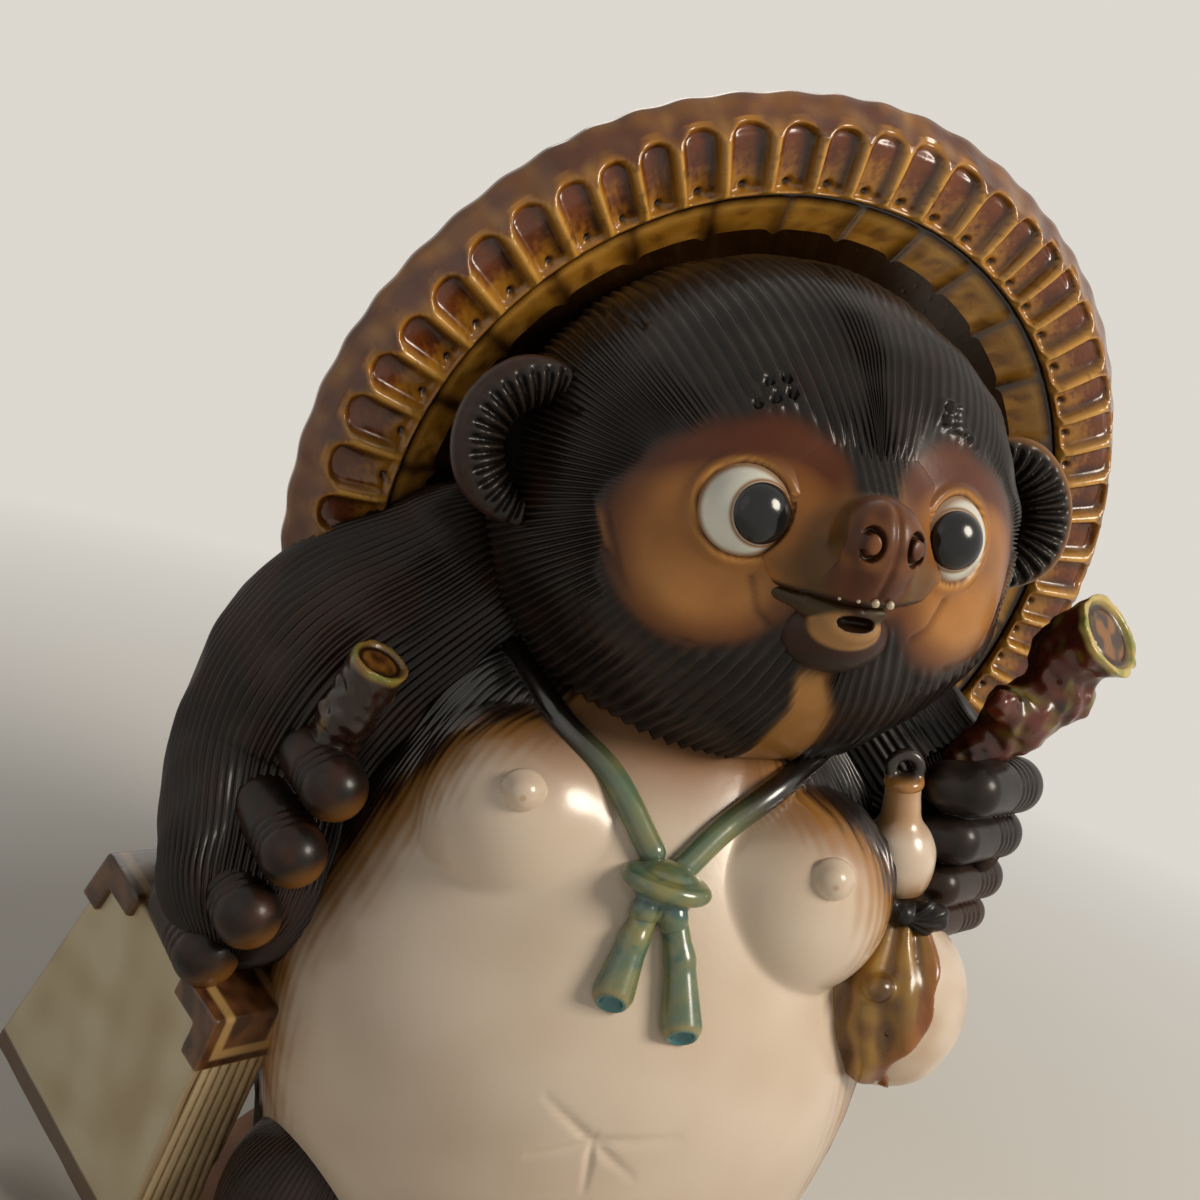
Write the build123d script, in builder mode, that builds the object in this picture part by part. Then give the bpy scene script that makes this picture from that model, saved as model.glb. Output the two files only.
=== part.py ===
from build123d import *
import math
import os

# Driving sizes in millimetres. Z is up, the statue looks towards -Y, its own right side is -X.

# Base slab with the kiln vent
BASE_HALF_WIDTH = 130.0
BASE_HALF_DEPTH = 140.0
BASE_SHIFT_Y = -8.0
BASE_THICK = 14.0
BASE_EDGE_ROUND = 4.0
VENT_RADIUS = 14.0
VENT_SHIFT_Y = 45.0

# A distance in front of the whole statue
FRONT_REACH = 400.0

# Clay wall of the hollow shells
WALL = 9.0

# Body: height above the base's top, half width, half depth and shift in Y of each level
BODY_SHIFT_X = -8.0
BODY_LEVELS = (
    (0.0, 92.0, 88.0, 0.0),
    (46.0, 104.0, 104.0, -7.0),
    (96.0, 117.0, 113.0, -8.0),
    (136.0, 119.0, 112.0, -8.0),
    (176.0, 108.0, 98.0, -6.0),
    (211.0, 98.0, 84.0, -4.0),
    (241.0, 84.0, 69.0, 0.0),
    (264.0, 56.0, 48.0, 0.0),
)
BODY_SEAM_Y = 18.0
BREAST_RADIUS = 38.0
BREAST_X = 50.0
BREAST_Y = -57.0
BREAST_Z = 218.0
NIPPLE_RADIUS = 8.5
NIPPLE_SINK = 4.0
NIPPLE_X = 55.0
NIPPLE_Z = 236.0

# Main partings of the combed hair on the back and the head
PARTING_WIDTH = 3.0
PARTING_DEPTH = 1.6
PARTING_COUNT = 7
PARTING_STEP_DEGREES = 24.0
PARTING_PLATE = 80.0
BACK_PARTING_RADIUS = 100.0
BACK_PARTING_LOW_Z = 40.0
BACK_PARTING_HEIGHT = 210.0
HEAD_PARTING_RADIUS = 80.0
HEAD_PARTING_FRONT = 40.0
HEAD_PARTING_LENGTH = 140.0

# Legs, feet, sack and tail
LEG_RADIUS = 42.0
LEG_HALF_HEIGHT = 46.0
LEG_X = 66.0
LEG_Y = -62.0
LEG_Z = 48.0
FOOT_RADIUS = 22.0
FOOT_LENGTH = 34.0
FOOT_X = 62.0
FOOT_Y = -86.0
FOOT_Z = 26.0
TOE_RADIUS = 9.0
TOE_COUNT = 4
TOE_PITCH = 10.0
TOE_Y = -112.0
TOE_Z = 22.0
SACK_RADIUS = 40.0
SACK_HALF_HEIGHT = 34.0
SACK_Y = -92.0
SACK_Z = 46.0
TAIL_POINTS = ((0.0, 84.0, 44.0), (6.0, 110.0, 46.0), (16.0, 128.0, 70.0), (14.0, 124.0, 104.0))
TAIL_RADII = (24.0, 26.0, 24.0, 13.0)

# A limb's end ball is this much smaller than the round station that it closes
LIMB_END_STEP = 0.3

# Arms, as points and radii from the shoulder to the paw
RIGHT_ARM_POINTS = (
    (-96.0, -4.0, 282.0),
    (-128.0, -10.0, 244.0),
    (-142.0, -16.0, 195.0),
    (-138.0, -42.0, 160.0),
)
RIGHT_ARM_RADII = (36.0, 44.0, 39.0, 32.0)
LEFT_ARM_POINTS = ((78.0, 12.0, 276.0), (103.0, 2.0, 256.0), (114.0, -20.0, 246.0))
LEFT_ARM_RADII = (33.0, 34.0, 28.0)
RIGHT_FINGER_RADIUS = 11.5
RIGHT_FINGER_REACH = (-14.0, 26.0, -4.0)
RIGHT_FINGERS = (
    (-116.0, -66.0, 211.0),
    (-123.0, -72.0, 186.0),
    (-132.0, -74.0, 161.0),
    (-143.0, -64.0, 138.0),
)
LEFT_FINGER_COUNT = 4
LEFT_FINGER_RADIUS = 7.4
LEFT_FINGER_PITCH = 15.2
LEFT_FINGER_TOP_Z = 274.0
LEFT_KNUCKLE = (134.0, -24.0)
LEFT_FINGER_TIP = (108.0, -50.0)

# Head, with levels in its own frame as the body's are in the statue's
HEAD_CENTRE = (0.0, -16.0, 338.0)
HEAD_TURN = 15.0
HEAD_NOD = -9.0
HEAD_TILT = -7.0
HEAD_LEVELS = (
    (-88.0, 20.0, 19.0, -2.0),
    (-64.0, 67.5, 63.5, -2.0),
    (-30.0, 91.0, 85.5, -2.0),
    (5.0, 97.0, 91.0, -2.0),
    (40.0, 88.5, 83.0, -2.0),
    (68.0, 67.5, 63.5, -2.0),
    (92.0, 20.0, 19.0, -2.0),
)
FORELOCK_RISE = 3.0
FORELOCK_HALF_WIDTH = 34.0
FORELOCK_TOP_Z = 80.0
FORELOCK_TIP_Z = 14.0

# Ears: a cup open to the front, with ribs across its hollow
EAR_X = 97.0
EAR_Y = -22.0
EAR_Z = 20.0
EAR_RING_RADIUS = 26.0
EAR_RIM_RADIUS = 7.5
EAR_PLATE_THICK = 6.0
EAR_RIB_COUNT = 7
EAR_RIB_PITCH = 6.0
EAR_RIB_THICK = 2.0
EAR_RIB_RISE = 3.0

# Eyes and muzzle, in the head's own frame
EYE_X = 37.0
EYE_Y = -76.0
EYE_Z = 3.0
EYE_RADIUS = 17.0
PUPIL_RADIUS = 9.8
PUPIL_BALL_RADIUS = 11.0
SNOUT_ROOT_Y = -70.0
SNOUT_ROOT_Z = -12.0
SNOUT_ROOT_RADIUS = 31.0
SNOUT_TIP_Y = -110.0
SNOUT_TIP_Z = -2.0
SNOUT_TIP_RADIUS = 15.0
NOSE_RADIUS = 15.0
NOSE_THICK = 6.0
NOSTRIL_RADIUS = 3.5
NOSTRIL_DEPTH = 4.0
NOSTRIL_X = 7.0
JAW_REACH = 8.0
JAW_RADIUS = 12.5
JAW_Y = -87.0
JAW_Z = -36.0
TOOTH_RADIUS = 2.4
TOOTH_COUNT = 5
TOOTH_STEP_DEGREES = 22.0
TOOTH_Y = -103.0

# Hat, slung behind the head: a shallow cone with a pleated rim, open to the front
HAT_CENTRE = (10.0, 40.0, 316.0)
HAT_TURN = 21.0
HAT_LEAN = 12.0
HAT_RADIUS = 184.0
HAT_RIM_INNER = 149.0
HAT_CROWN_RADIUS = 52.0
HAT_CONE_DEPTH = 84.0
HAT_WALL = 9.0
RIM_CREST = 8.0
RIM_EDGE = 2.0
RIM_SHOULDER = 3.0
PLEAT_OUTER = 175.0
BAND_LEVEL = -8.0
BAND_UNDERCUT = 3.0
PLEAT_COUNT = 60
PLEAT_GROOVE_RADIUS = 4.0
HAT_RIB_COUNT = 30
HAT_RIB_WIDTH = 3.0
HAT_RIB_RISE = 2.5

# Cord of the hat, as places in X and Z on the front of the body
CORD_RADIUS = 4.8
CORD_PROUD = 2.0
CORD_JOINT_STEP = 0.1
CORD_RIGHT_ROUTE = ((-96.0, 284.0), (-74.0, 270.0), (-48.0, 257.0), (-26.0, 246.0), (-7.0, 228.0))
CORD_LEFT_ROUTE = ((70.0, 278.0), (54.0, 268.0), (34.0, 257.0), (16.0, 240.0), (5.0, 226.0))
KNOT_RADIUS = 12.0
KNOT_Z = 219.0
CORD_RIGHT_TAIL = ((-4.0, 214.0), (-6.0, 200.0), (-8.0, 184.0))
CORD_LEFT_TAIL = ((4.0, 214.0), (12.0, 198.0), (18.0, 178.0))
CORD_END_RADIUS = 8.0
CORD_SOCKET_RADIUS = 4.5
CORD_SOCKET_DEPTH = 5.0

# Ledger at the right paw
LEDGER_TOP = (-160.0, -52.0, 133.0)
LEDGER_TURN = -43.0
LEDGER_SLANT = 17.0
LEDGER_TOP_WIDTH = 80.0
LEDGER_FOOT_WIDTH = 106.0
LEDGER_HEIGHT = 110.0
LEDGER_THICK = 34.0
LEDGER_COVER_THICK = 4.0
LEDGER_GROOVE_COUNT = 5
LEDGER_GROOVE_WIDTH = 2.0
LEDGER_GROOVE_DEPTH = 2.0
CAP_WIDTH = 22.0
CAP_HEIGHT = 20.0
CAP_RISE = 3.0

# Gourd flask at the left fist
GOURD_FOOT = (111.0, -46.0, 154.0)
GOURD_TOP = (79.0, -52.0, 268.0)
GOURD_BELLY_LEVEL = 35.0
GOURD_WAIST_LEVEL = 74.0
GOURD_WAIST_RADIUS = 10.5
GOURD_LEVELS = (
    (0.0, 10.0),
    (5.0, 18.0),
    (16.0, 26.0),
    (GOURD_BELLY_LEVEL, 30.0),
    (52.0, 25.5),
    (66.0, 14.0),
    (GOURD_WAIST_LEVEL, GOURD_WAIST_RADIUS),
    (85.0, 12.8),
    (95.0, 13.0),
    (105.0, 9.5),
    (112.0, 6.5),
    (118.0, 6.0),
)
STOPPER_RADIUS = 7.5
STOPPER_HEIGHT = 9.0
WAIST_CORD_RADIUS = 3.2
LEAF_RISE = 2.0
LEAF_SHIFT_X = -10.0
LEAF_HALF_WIDTH = 24.0
LEAF_HEIGHT = 56.0

# Branches, with hollow cut ends
RIGHT_BRANCH_POINTS = ((-124.0, -52.0, 216.0), (-113.0, -64.0, 259.0))
RIGHT_BRANCH_RADII = (9.0, 10.5)
LEFT_BRANCH_POINTS = (
    (108.0, -26.0, 274.0),
    (121.0, -28.0, 299.0),
    (132.0, -26.0, 312.0),
    (131.0, -25.0, 327.0),
    (139.0, -36.0, 339.0),
)
LEFT_BRANCH_RADII = (9.0, 10.0, 12.0, 12.0, 16.0)
BRANCH_KNUCKLE_STEP = 1.0
BRANCH_SOCKET_SHARE = 0.6
BRANCH_SOCKET_DEPTH = 7.0


def facing(frame, point, direction):
    """A plane at a point of a frame, whose normal follows a direction of that frame"""
    origin = frame.from_local_coords(Vector(*point))
    tip = frame.from_local_coords(Vector(*point) + Vector(*direction))
    return Plane(origin=origin, z_dir=tip - origin)


def add_spheroid(plane, axis_radius, round_radius, mode=Mode.ADD):
    """A round form turned about the plane's normal"""
    with BuildSketch(Plane(plane.origin, x_dir=plane.z_dir, z_dir=plane.y_dir)) as profile:
        with BuildLine():
            EllipticalCenterArc((0, 0), axis_radius, round_radius, start_angle=0, arc_size=180)
            Line((-axis_radius, 0), (axis_radius, 0))
        make_face()
    revolve(profile.sketch, axis=Axis(plane.origin, plane.z_dir), mode=mode)


def add_limb(points, radii, round_ends=True):
    """A limb lofted through round stations"""
    centres = [Vector(*point) for point in points]
    last = len(centres) - 1
    stations = []
    for index, centre in enumerate(centres):
        along = centres[min(index + 1, last)] - centres[max(index - 1, 0)]
        with BuildSketch(Plane(centre, x_dir=(1, 0, 0), z_dir=along)) as station:
            Circle(radii[index])
        stations.append(station.sketch)
    loft(stations)
    if round_ends:
        for end in (0, last):
            with Locations(centres[end]):
                Sphere(radii[end] - LIMB_END_STEP)


def add_chain(points, radii, ball_step):
    """Straight tapered lengths joined by balls a step larger than they are, open at both ends"""
    for index in range(len(points) - 1):
        add_limb(points[index : index + 2], radii[index : index + 2], round_ends=False)
    for point, radius in list(zip(points, radii))[1:-1]:
        with Locations(Vector(*point)):
            Sphere(radius + ball_step)


def add_levels(frame, levels, clay=0.0, open_below=False):
    """A form lofted through level ellipses of a frame, drawn in all round by a thickness of clay"""
    stations = []
    for index, (height, half_width, half_depth, shift_y) in enumerate(levels):
        if index == 0 and not open_below:
            height += clay
        if index == len(levels) - 1:
            height -= clay
        centre = frame.from_local_coords(Vector(0, shift_y, height))
        with BuildSketch(Plane(centre, x_dir=frame.x_dir, z_dir=frame.z_dir)) as station:
            Ellipse(half_width - clay, half_depth - clay)
        stations.append(station.sketch)
    loft(stations)


def on_body(x, z, proud=0.0):
    """The point at a place in X and Z on the front of the body and its arms"""
    ray = Axis((x, -FRONT_REACH, z), (0, 1, 0))
    hits = []
    for form in (torso_form, right_arm_form, left_arm_form):
        hits += [point for point, normal in form.part.find_intersection_points(ray)]
    nearest = min(hits, key=lambda point: point.Y)
    return nearest - Vector(0, proud, 0)


def add_partings(plane, radius, length, align):
    """A fan of thin plates round a plane's normal, each a parting that is cut into the hair"""
    spread = PARTING_STEP_DEGREES * (PARTING_COUNT - 1)
    with Locations(plane):
        with PolarLocations(radius, PARTING_COUNT, 90 - spread / 2, spread, endpoint=True):
            Box(PARTING_PLATE, PARTING_WIDTH, length, align=(Align.CENTER, Align.CENTER, align))


def seat_on(*forms):
    """Cut the piece being made where it meets the forms that carry it"""
    for form in forms:
        add(form.part, mode=Mode.SUBTRACT)


pieces = {}

# Base slab
with BuildPart() as base_slab:
    with BuildSketch(Plane((0, BASE_SHIFT_Y, 0))):
        Ellipse(BASE_HALF_WIDTH, BASE_HALF_DEPTH)
    extrude(amount=BASE_THICK)
    fillet(base_slab.faces().sort_by(Axis.Z)[-1].edges(), radius=BASE_EDGE_ROUND)
    with Locations((0, VENT_SHIFT_Y, 0)):
        Cylinder(VENT_RADIUS, 3 * BASE_THICK, mode=Mode.SUBTRACT)
pieces["base_slab"] = base_slab

# Whole body, which carries the other pieces
body_frame = Plane((BODY_SHIFT_X, 0, BASE_THICK))
with BuildPart() as torso_form:
    add_levels(body_frame, BODY_LEVELS)
    for side in (-1, 1):
        with Locations((side * BREAST_X, BREAST_Y, BREAST_Z)):
            Sphere(BREAST_RADIUS)

with BuildPart() as body_hollow:
    add_levels(body_frame, BODY_LEVELS, WALL, open_below=True)

# Body shells, press-moulded in two halves
seam_plane = Plane((0, BODY_SEAM_Y, 0), x_dir=(1, 0, 0), z_dir=(0, -1, 0))
with BuildPart() as body_front_shell:
    add(torso_form.part)
    seat_on(body_hollow)
    split(bisect_by=seam_plane, keep=Keep.TOP)
pieces["body_front_shell"] = body_front_shell

with BuildPart() as back_core:
    add_levels(body_frame, BODY_LEVELS, PARTING_DEPTH, open_below=True)

with BuildPart() as back_partings:
    back_axis = Plane((BODY_SHIFT_X, 0, BACK_PARTING_LOW_Z))
    add_partings(back_axis, BACK_PARTING_RADIUS, BACK_PARTING_HEIGHT, Align.MIN)
    seat_on(back_core)

with BuildPart() as body_back_shell:
    add(torso_form.part)
    seat_on(body_hollow, back_partings)
    split(bisect_by=seam_plane, keep=Keep.BOTTOM)
pieces["body_back_shell"] = body_back_shell

# Head, turned and tilted on the shoulders
head_place = Location(HEAD_CENTRE) * Rotation(0, 0, HEAD_TURN) * Rotation(HEAD_NOD, 0, 0)
head_frame = Plane(head_place * Rotation(0, HEAD_TILT, 0))

with BuildPart() as head_form:
    add_levels(head_frame, HEAD_LEVELS)

with BuildPart() as head_hollow:
    add_levels(head_frame, HEAD_LEVELS, WALL)

head_front = Plane(head_frame.origin, x_dir=head_frame.x_dir, z_dir=-head_frame.y_dir)
with BuildPart() as head_core:
    add_levels(head_frame, HEAD_LEVELS, PARTING_DEPTH)

with BuildPart() as head_partings:
    parting_front = head_front.offset(HEAD_PARTING_FRONT)
    add_partings(parting_front, HEAD_PARTING_RADIUS, HEAD_PARTING_LENGTH, Align.MAX)
    seat_on(head_core)

with BuildPart() as head_shell:
    add(head_form.part)
    seat_on(head_hollow, head_partings, torso_form)
pieces["head_shell"] = head_shell

# Forelock, a wedge of hair that runs down to the bridge of the nose
with BuildPart() as forelock_skin:
    add_levels(head_frame, HEAD_LEVELS, -FORELOCK_RISE)

with BuildPart() as forelock:
    with BuildSketch(head_front):
        with BuildLine():
            Polyline(
                (-FORELOCK_HALF_WIDTH, FORELOCK_TOP_Z),
                (FORELOCK_HALF_WIDTH, FORELOCK_TOP_Z),
                (0, FORELOCK_TIP_Z),
                close=True,
            )
        make_face()
    extrude(amount=FRONT_REACH)
    add(forelock_skin.part, mode=Mode.INTERSECT)
    seat_on(head_form)
pieces["forelock"] = forelock

# Arms
with BuildPart() as right_arm_form:
    add_limb(RIGHT_ARM_POINTS, RIGHT_ARM_RADII)

with BuildPart() as right_arm:
    add(right_arm_form.part)
    seat_on(torso_form, head_form)
pieces["right_arm"] = right_arm

with BuildPart() as left_arm_form:
    add_limb(LEFT_ARM_POINTS, LEFT_ARM_RADII)

with BuildPart() as left_arm:
    add(left_arm_form.part)
    seat_on(torso_form, head_form)
pieces["left_arm"] = left_arm

# Nipples, pressed on as small sprigs
for name, side in (("right_nipple", -1), ("left_nipple", 1)):
    with BuildPart() as nipple:
        with Locations(on_body(side * NIPPLE_X, NIPPLE_Z, -NIPPLE_SINK)):
            Sphere(NIPPLE_RADIUS)
        seat_on(torso_form)
    pieces[name] = nipple

# Legs and feet
for name, side in (("right", -1), ("left", 1)):
    with BuildPart() as leg:
        add_spheroid(Plane((BODY_SHIFT_X + side * LEG_X, LEG_Y, LEG_Z)), LEG_HALF_HEIGHT, LEG_RADIUS)
        seat_on(torso_form, base_slab)
    pieces[f"{name}_leg"] = leg
    with BuildPart() as foot:
        foot_x = BODY_SHIFT_X + side * FOOT_X
        add_spheroid(Plane((foot_x, FOOT_Y, FOOT_Z), z_dir=(0, -1, 0)), FOOT_LENGTH, FOOT_RADIUS)
        for toe in range(TOE_COUNT):
            toe_x = foot_x + (toe - (TOE_COUNT - 1) / 2) * TOE_PITCH
            with Locations((toe_x, TOE_Y, TOE_Z)):
                Sphere(TOE_RADIUS)
        seat_on(torso_form, base_slab, leg)
    pieces[f"{name}_foot"] = foot

# Money sack in front and tail behind
with BuildPart() as money_sack:
    add_spheroid(Plane((BODY_SHIFT_X, SACK_Y, SACK_Z)), SACK_HALF_HEIGHT, SACK_RADIUS)
    seat_on(torso_form, base_slab)
    seat_on(pieces["right_leg"], pieces["left_leg"], pieces["right_foot"], pieces["left_foot"])
pieces["money_sack"] = money_sack

with BuildPart() as tail:
    add_limb(TAIL_POINTS, TAIL_RADII)
    seat_on(torso_form, base_slab)
pieces["tail"] = tail

# Fingers, laid on the paws
with BuildPart() as right_fingers:
    for tip in RIGHT_FINGERS:
        root = Vector(*tip) + Vector(*RIGHT_FINGER_REACH)
        add_limb((root, tip), (RIGHT_FINGER_RADIUS, RIGHT_FINGER_RADIUS))
    seat_on(right_arm, torso_form)
pieces["right_fingers"] = right_fingers

with BuildPart() as left_fingers:
    for finger in range(LEFT_FINGER_COUNT):
        finger_z = LEFT_FINGER_TOP_Z - finger * LEFT_FINGER_PITCH
        ends = ((*LEFT_KNUCKLE, finger_z), (*LEFT_FINGER_TIP, finger_z))
        add_limb(ends, (LEFT_FINGER_RADIUS, LEFT_FINGER_RADIUS))
    seat_on(left_arm, torso_form)
pieces["left_fingers"] = left_fingers

# Ears, cupped to the front with ribs across the cup
for name, side in (("right_ear", -1), ("left_ear", 1)):
    ear_front = facing(head_frame, (side * EAR_X, EAR_Y, EAR_Z), (0, -1, 0))
    ear_plane = Plane(ear_front.origin, x_dir=head_frame.x_dir, z_dir=ear_front.z_dir)
    with BuildPart() as ear:
        with Locations(ear_plane):
            Torus(EAR_RING_RADIUS, EAR_RIM_RADIUS)
            Cylinder(EAR_RING_RADIUS, EAR_PLATE_THICK)
        with Locations(ear_plane.offset(EAR_PLATE_THICK / 2)):
            with GridLocations(0, EAR_RIB_PITCH, 1, EAR_RIB_COUNT):
                Box(EAR_RING_RADIUS, EAR_RIB_THICK, 2 * EAR_RIB_RISE)
        seat_on(head_form)
    pieces[name] = ear

# Eyes with raised pupils
eyeballs = []
for name, side in (("right", -1), ("left", 1)):
    gaze = facing(head_frame, (side * EYE_X, EYE_Y, EYE_Z), (0, -1, 0))
    with BuildPart() as eye_form:
        with Locations(gaze.origin):
            Sphere(EYE_RADIUS)
    with BuildPart() as eyeball:
        add(eye_form.part)
        seat_on(head_form)
    pieces[f"{name}_eyeball"] = eyeball
    eyeballs.append(eyeball)
    pupil_level = math.sqrt(EYE_RADIUS**2 - PUPIL_RADIUS**2)
    pupil_depth = pupil_level - math.sqrt(PUPIL_BALL_RADIUS**2 - PUPIL_RADIUS**2)
    with BuildPart() as pupil:
        with Locations(gaze.offset(pupil_depth).origin):
            Sphere(PUPIL_BALL_RADIUS)
        seat_on(eye_form)
    pieces[f"{name}_pupil"] = pupil

# Snout with its nose disc
snout_root = head_frame.from_local_coords((0, SNOUT_ROOT_Y, SNOUT_ROOT_Z))
snout_tip = head_frame.from_local_coords((0, SNOUT_TIP_Y, SNOUT_TIP_Z))
with BuildPart() as snout:
    add_limb((snout_root, snout_tip), (SNOUT_ROOT_RADIUS, SNOUT_TIP_RADIUS), round_ends=False)
    seat_on(head_form, forelock, *eyeballs)
pieces["snout"] = snout

nose_plane = Plane(snout_tip, x_dir=head_frame.x_dir, z_dir=snout_tip - snout_root)
with BuildPart() as nose:
    with BuildSketch(nose_plane):
        Circle(NOSE_RADIUS)
    extrude(amount=NOSE_THICK)
    fillet(nose.faces().sort_by(Axis(snout_tip, nose_plane.z_dir))[-1].edges(), radius=NOSE_THICK / 3)
    with Locations(nose_plane.offset(NOSE_THICK)):
        with GridLocations(2 * NOSTRIL_X, 0, 2, 1):
            Hole(NOSTRIL_RADIUS, depth=NOSTRIL_DEPTH)
pieces["nose"] = nose

# Lower jaw and the row of teeth under the snout
with BuildPart() as lower_jaw:
    ends = [head_frame.from_local_coords((side * JAW_REACH, JAW_Y, JAW_Z)) for side in (-1, 1)]
    add_limb(ends, (JAW_RADIUS, JAW_RADIUS))
    seat_on(snout, head_form)
pieces["lower_jaw"] = lower_jaw

tooth_share = (TOOTH_Y - SNOUT_ROOT_Y) / (SNOUT_TIP_Y - SNOUT_ROOT_Y)
lip_radius = SNOUT_ROOT_RADIUS + tooth_share * (SNOUT_TIP_RADIUS - SNOUT_ROOT_RADIUS)
lip_z = SNOUT_ROOT_Z + tooth_share * (SNOUT_TIP_Z - SNOUT_ROOT_Z)
with BuildPart() as teeth:
    for tooth in range(TOOTH_COUNT):
        turn = Vector(0, 0, -lip_radius).rotate(Axis.Y, (tooth - (TOOTH_COUNT - 1) / 2) * TOOTH_STEP_DEGREES)
        with Locations(head_frame.from_local_coords(Vector(0, TOOTH_Y, lip_z) + turn)):
            Sphere(TOOTH_RADIUS)
    seat_on(snout, lower_jaw)
pieces["teeth"] = teeth

# Hat: its plane faces the front, with the rim's middle at the origin
hat_frame = Plane(Location(HAT_CENTRE) * Rotation(0, 0, HAT_TURN) * Rotation(HAT_LEAN, 0, 0))
hat_plane = Plane(hat_frame.origin, x_dir=hat_frame.x_dir, z_dir=-hat_frame.y_dir)
hat_section = Plane(hat_frame.origin, x_dir=hat_frame.x_dir, z_dir=-hat_plane.y_dir)
hat_axis = Axis(hat_plane.origin, hat_plane.z_dir)
crown_level = -HAT_CONE_DEPTH * (HAT_RIM_INNER - HAT_CROWN_RADIUS) / HAT_RIM_INNER
cone_slope = math.degrees(math.atan2(HAT_CONE_DEPTH, HAT_RIM_INNER))
hat_rib_length = math.hypot(HAT_RIM_INNER - HAT_CROWN_RADIUS, crown_level) - 2 * HAT_RIB_RISE
carriers = (head_form, torso_form, right_arm, left_arm)


def add_turned(*outline):
    """A ring of the hat, turned from its outline of radius and height"""
    with BuildSketch(hat_section) as section:
        with BuildLine():
            Polyline(*outline, close=True)
        make_face()
    revolve(section.sketch, axis=hat_axis)


with BuildPart() as hat_rim:
    add_turned(
        (HAT_RIM_INNER, -HAT_WALL),
        (HAT_RIM_INNER, RIM_EDGE),
        (HAT_RIM_INNER + RIM_SHOULDER, RIM_CREST),
        (PLEAT_OUTER - RIM_SHOULDER, RIM_CREST),
        (PLEAT_OUTER, RIM_EDGE),
        (HAT_RADIUS, BAND_LEVEL),
        (HAT_RADIUS - BAND_UNDERCUT, BAND_LEVEL - HAT_WALL),
    )
    with Locations(hat_plane.offset(RIM_CREST)):
        with PolarLocations((HAT_RIM_INNER + PLEAT_OUTER) / 2, PLEAT_COUNT):
            Cylinder(
                PLEAT_GROOVE_RADIUS,
                2 * (PLEAT_OUTER - HAT_RIM_INNER),
                rotation=(0, 90, 0),
                mode=Mode.SUBTRACT,
            )
    seat_on(*carriers)
    # A crumb of rim that the shoulders cut off is left out
    add(hat_rim.solids().sort_by(SortBy.VOLUME)[-1], mode=Mode.REPLACE)
pieces["hat_rim"] = hat_rim

with BuildPart() as hat_disc:
    add_turned(
        (HAT_RIM_INNER, 0),
        (HAT_CROWN_RADIUS, crown_level),
        (HAT_CROWN_RADIUS, crown_level - HAT_WALL),
        (HAT_RIM_INNER, -HAT_WALL),
    )
    with Locations(hat_plane.offset(crown_level / 2)):
        with PolarLocations((HAT_RIM_INNER + HAT_CROWN_RADIUS) / 2, HAT_RIB_COUNT):
            Box(hat_rib_length, HAT_RIB_WIDTH, 2 * HAT_RIB_RISE, rotation=(0, -cone_slope, 0))
    seat_on(*carriers)
pieces["hat_disc"] = hat_disc

with BuildPart() as hat_crown:
    add_turned(
        (HAT_CROWN_RADIUS, crown_level),
        (0, -HAT_CONE_DEPTH),
        (0, -HAT_CONE_DEPTH - HAT_WALL),
        (HAT_CROWN_RADIUS, crown_level - HAT_WALL),
    )
    seat_on(*carriers)
pieces["hat_crown"] = hat_crown

# Cord: knot, strands that rise to the hat and tails with socket ends
with BuildPart() as cord_knot:
    with Locations(on_body(0, KNOT_Z)):
        Sphere(KNOT_RADIUS)
    seat_on(torso_form)
pieces["cord_knot"] = cord_knot

for name, places in (("cord_right_strand", CORD_RIGHT_ROUTE), ("cord_left_strand", CORD_LEFT_ROUTE)):
    with BuildPart() as strand:
        stations = [on_body(x, z, CORD_PROUD) for x, z in places]
        add_chain(stations, [CORD_RADIUS] * len(stations), CORD_JOINT_STEP)
        seat_on(torso_form, head_form, right_arm, left_arm, cord_knot)
    pieces[name] = strand

for name, places in (("cord_right_tail", CORD_RIGHT_TAIL), ("cord_left_tail", CORD_LEFT_TAIL)):
    with BuildPart() as cord_tail:
        stations = [on_body(x, z, CORD_PROUD) for x, z in places]
        add_limb(stations, (CORD_RADIUS, CORD_RADIUS, CORD_END_RADIUS), round_ends=False)
        with Locations(Plane(stations[-1], z_dir=stations[-1] - stations[-2])):
            Cylinder(CORD_SOCKET_RADIUS, 2 * CORD_SOCKET_DEPTH, mode=Mode.SUBTRACT)
        seat_on(torso_form, cord_knot)
    pieces[name] = cord_tail

# Ledger under the right paw
ledger_frame = Plane(Location(LEDGER_TOP) * Rotation(0, 0, LEDGER_TURN) * Rotation(0, LEDGER_SLANT, 0))
ledger_seats = (torso_form, right_arm, right_fingers, pieces["right_leg"])
ledger_flare = math.degrees(math.atan2((LEDGER_FOOT_WIDTH - LEDGER_TOP_WIDTH) / 2, LEDGER_HEIGHT))


def add_ledger_slab(start, stop, mode=Mode.ADD):
    """A slab of the ledger between two depths behind its face, wider at the foot"""
    stations = []
    for level, width in ((0, LEDGER_TOP_WIDTH), (-LEDGER_HEIGHT, LEDGER_FOOT_WIDTH)):
        with BuildSketch(ledger_frame.offset(level)) as station:
            with Locations((0, (start + stop) / 2)):
                Rectangle(width, stop - start)
        stations.append(station.sketch)
    loft(stations, mode=mode)


with BuildPart() as ledger_cover:
    add_ledger_slab(0, LEDGER_COVER_THICK)
    seat_on(*ledger_seats)
pieces["ledger_cover"] = ledger_cover

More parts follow.
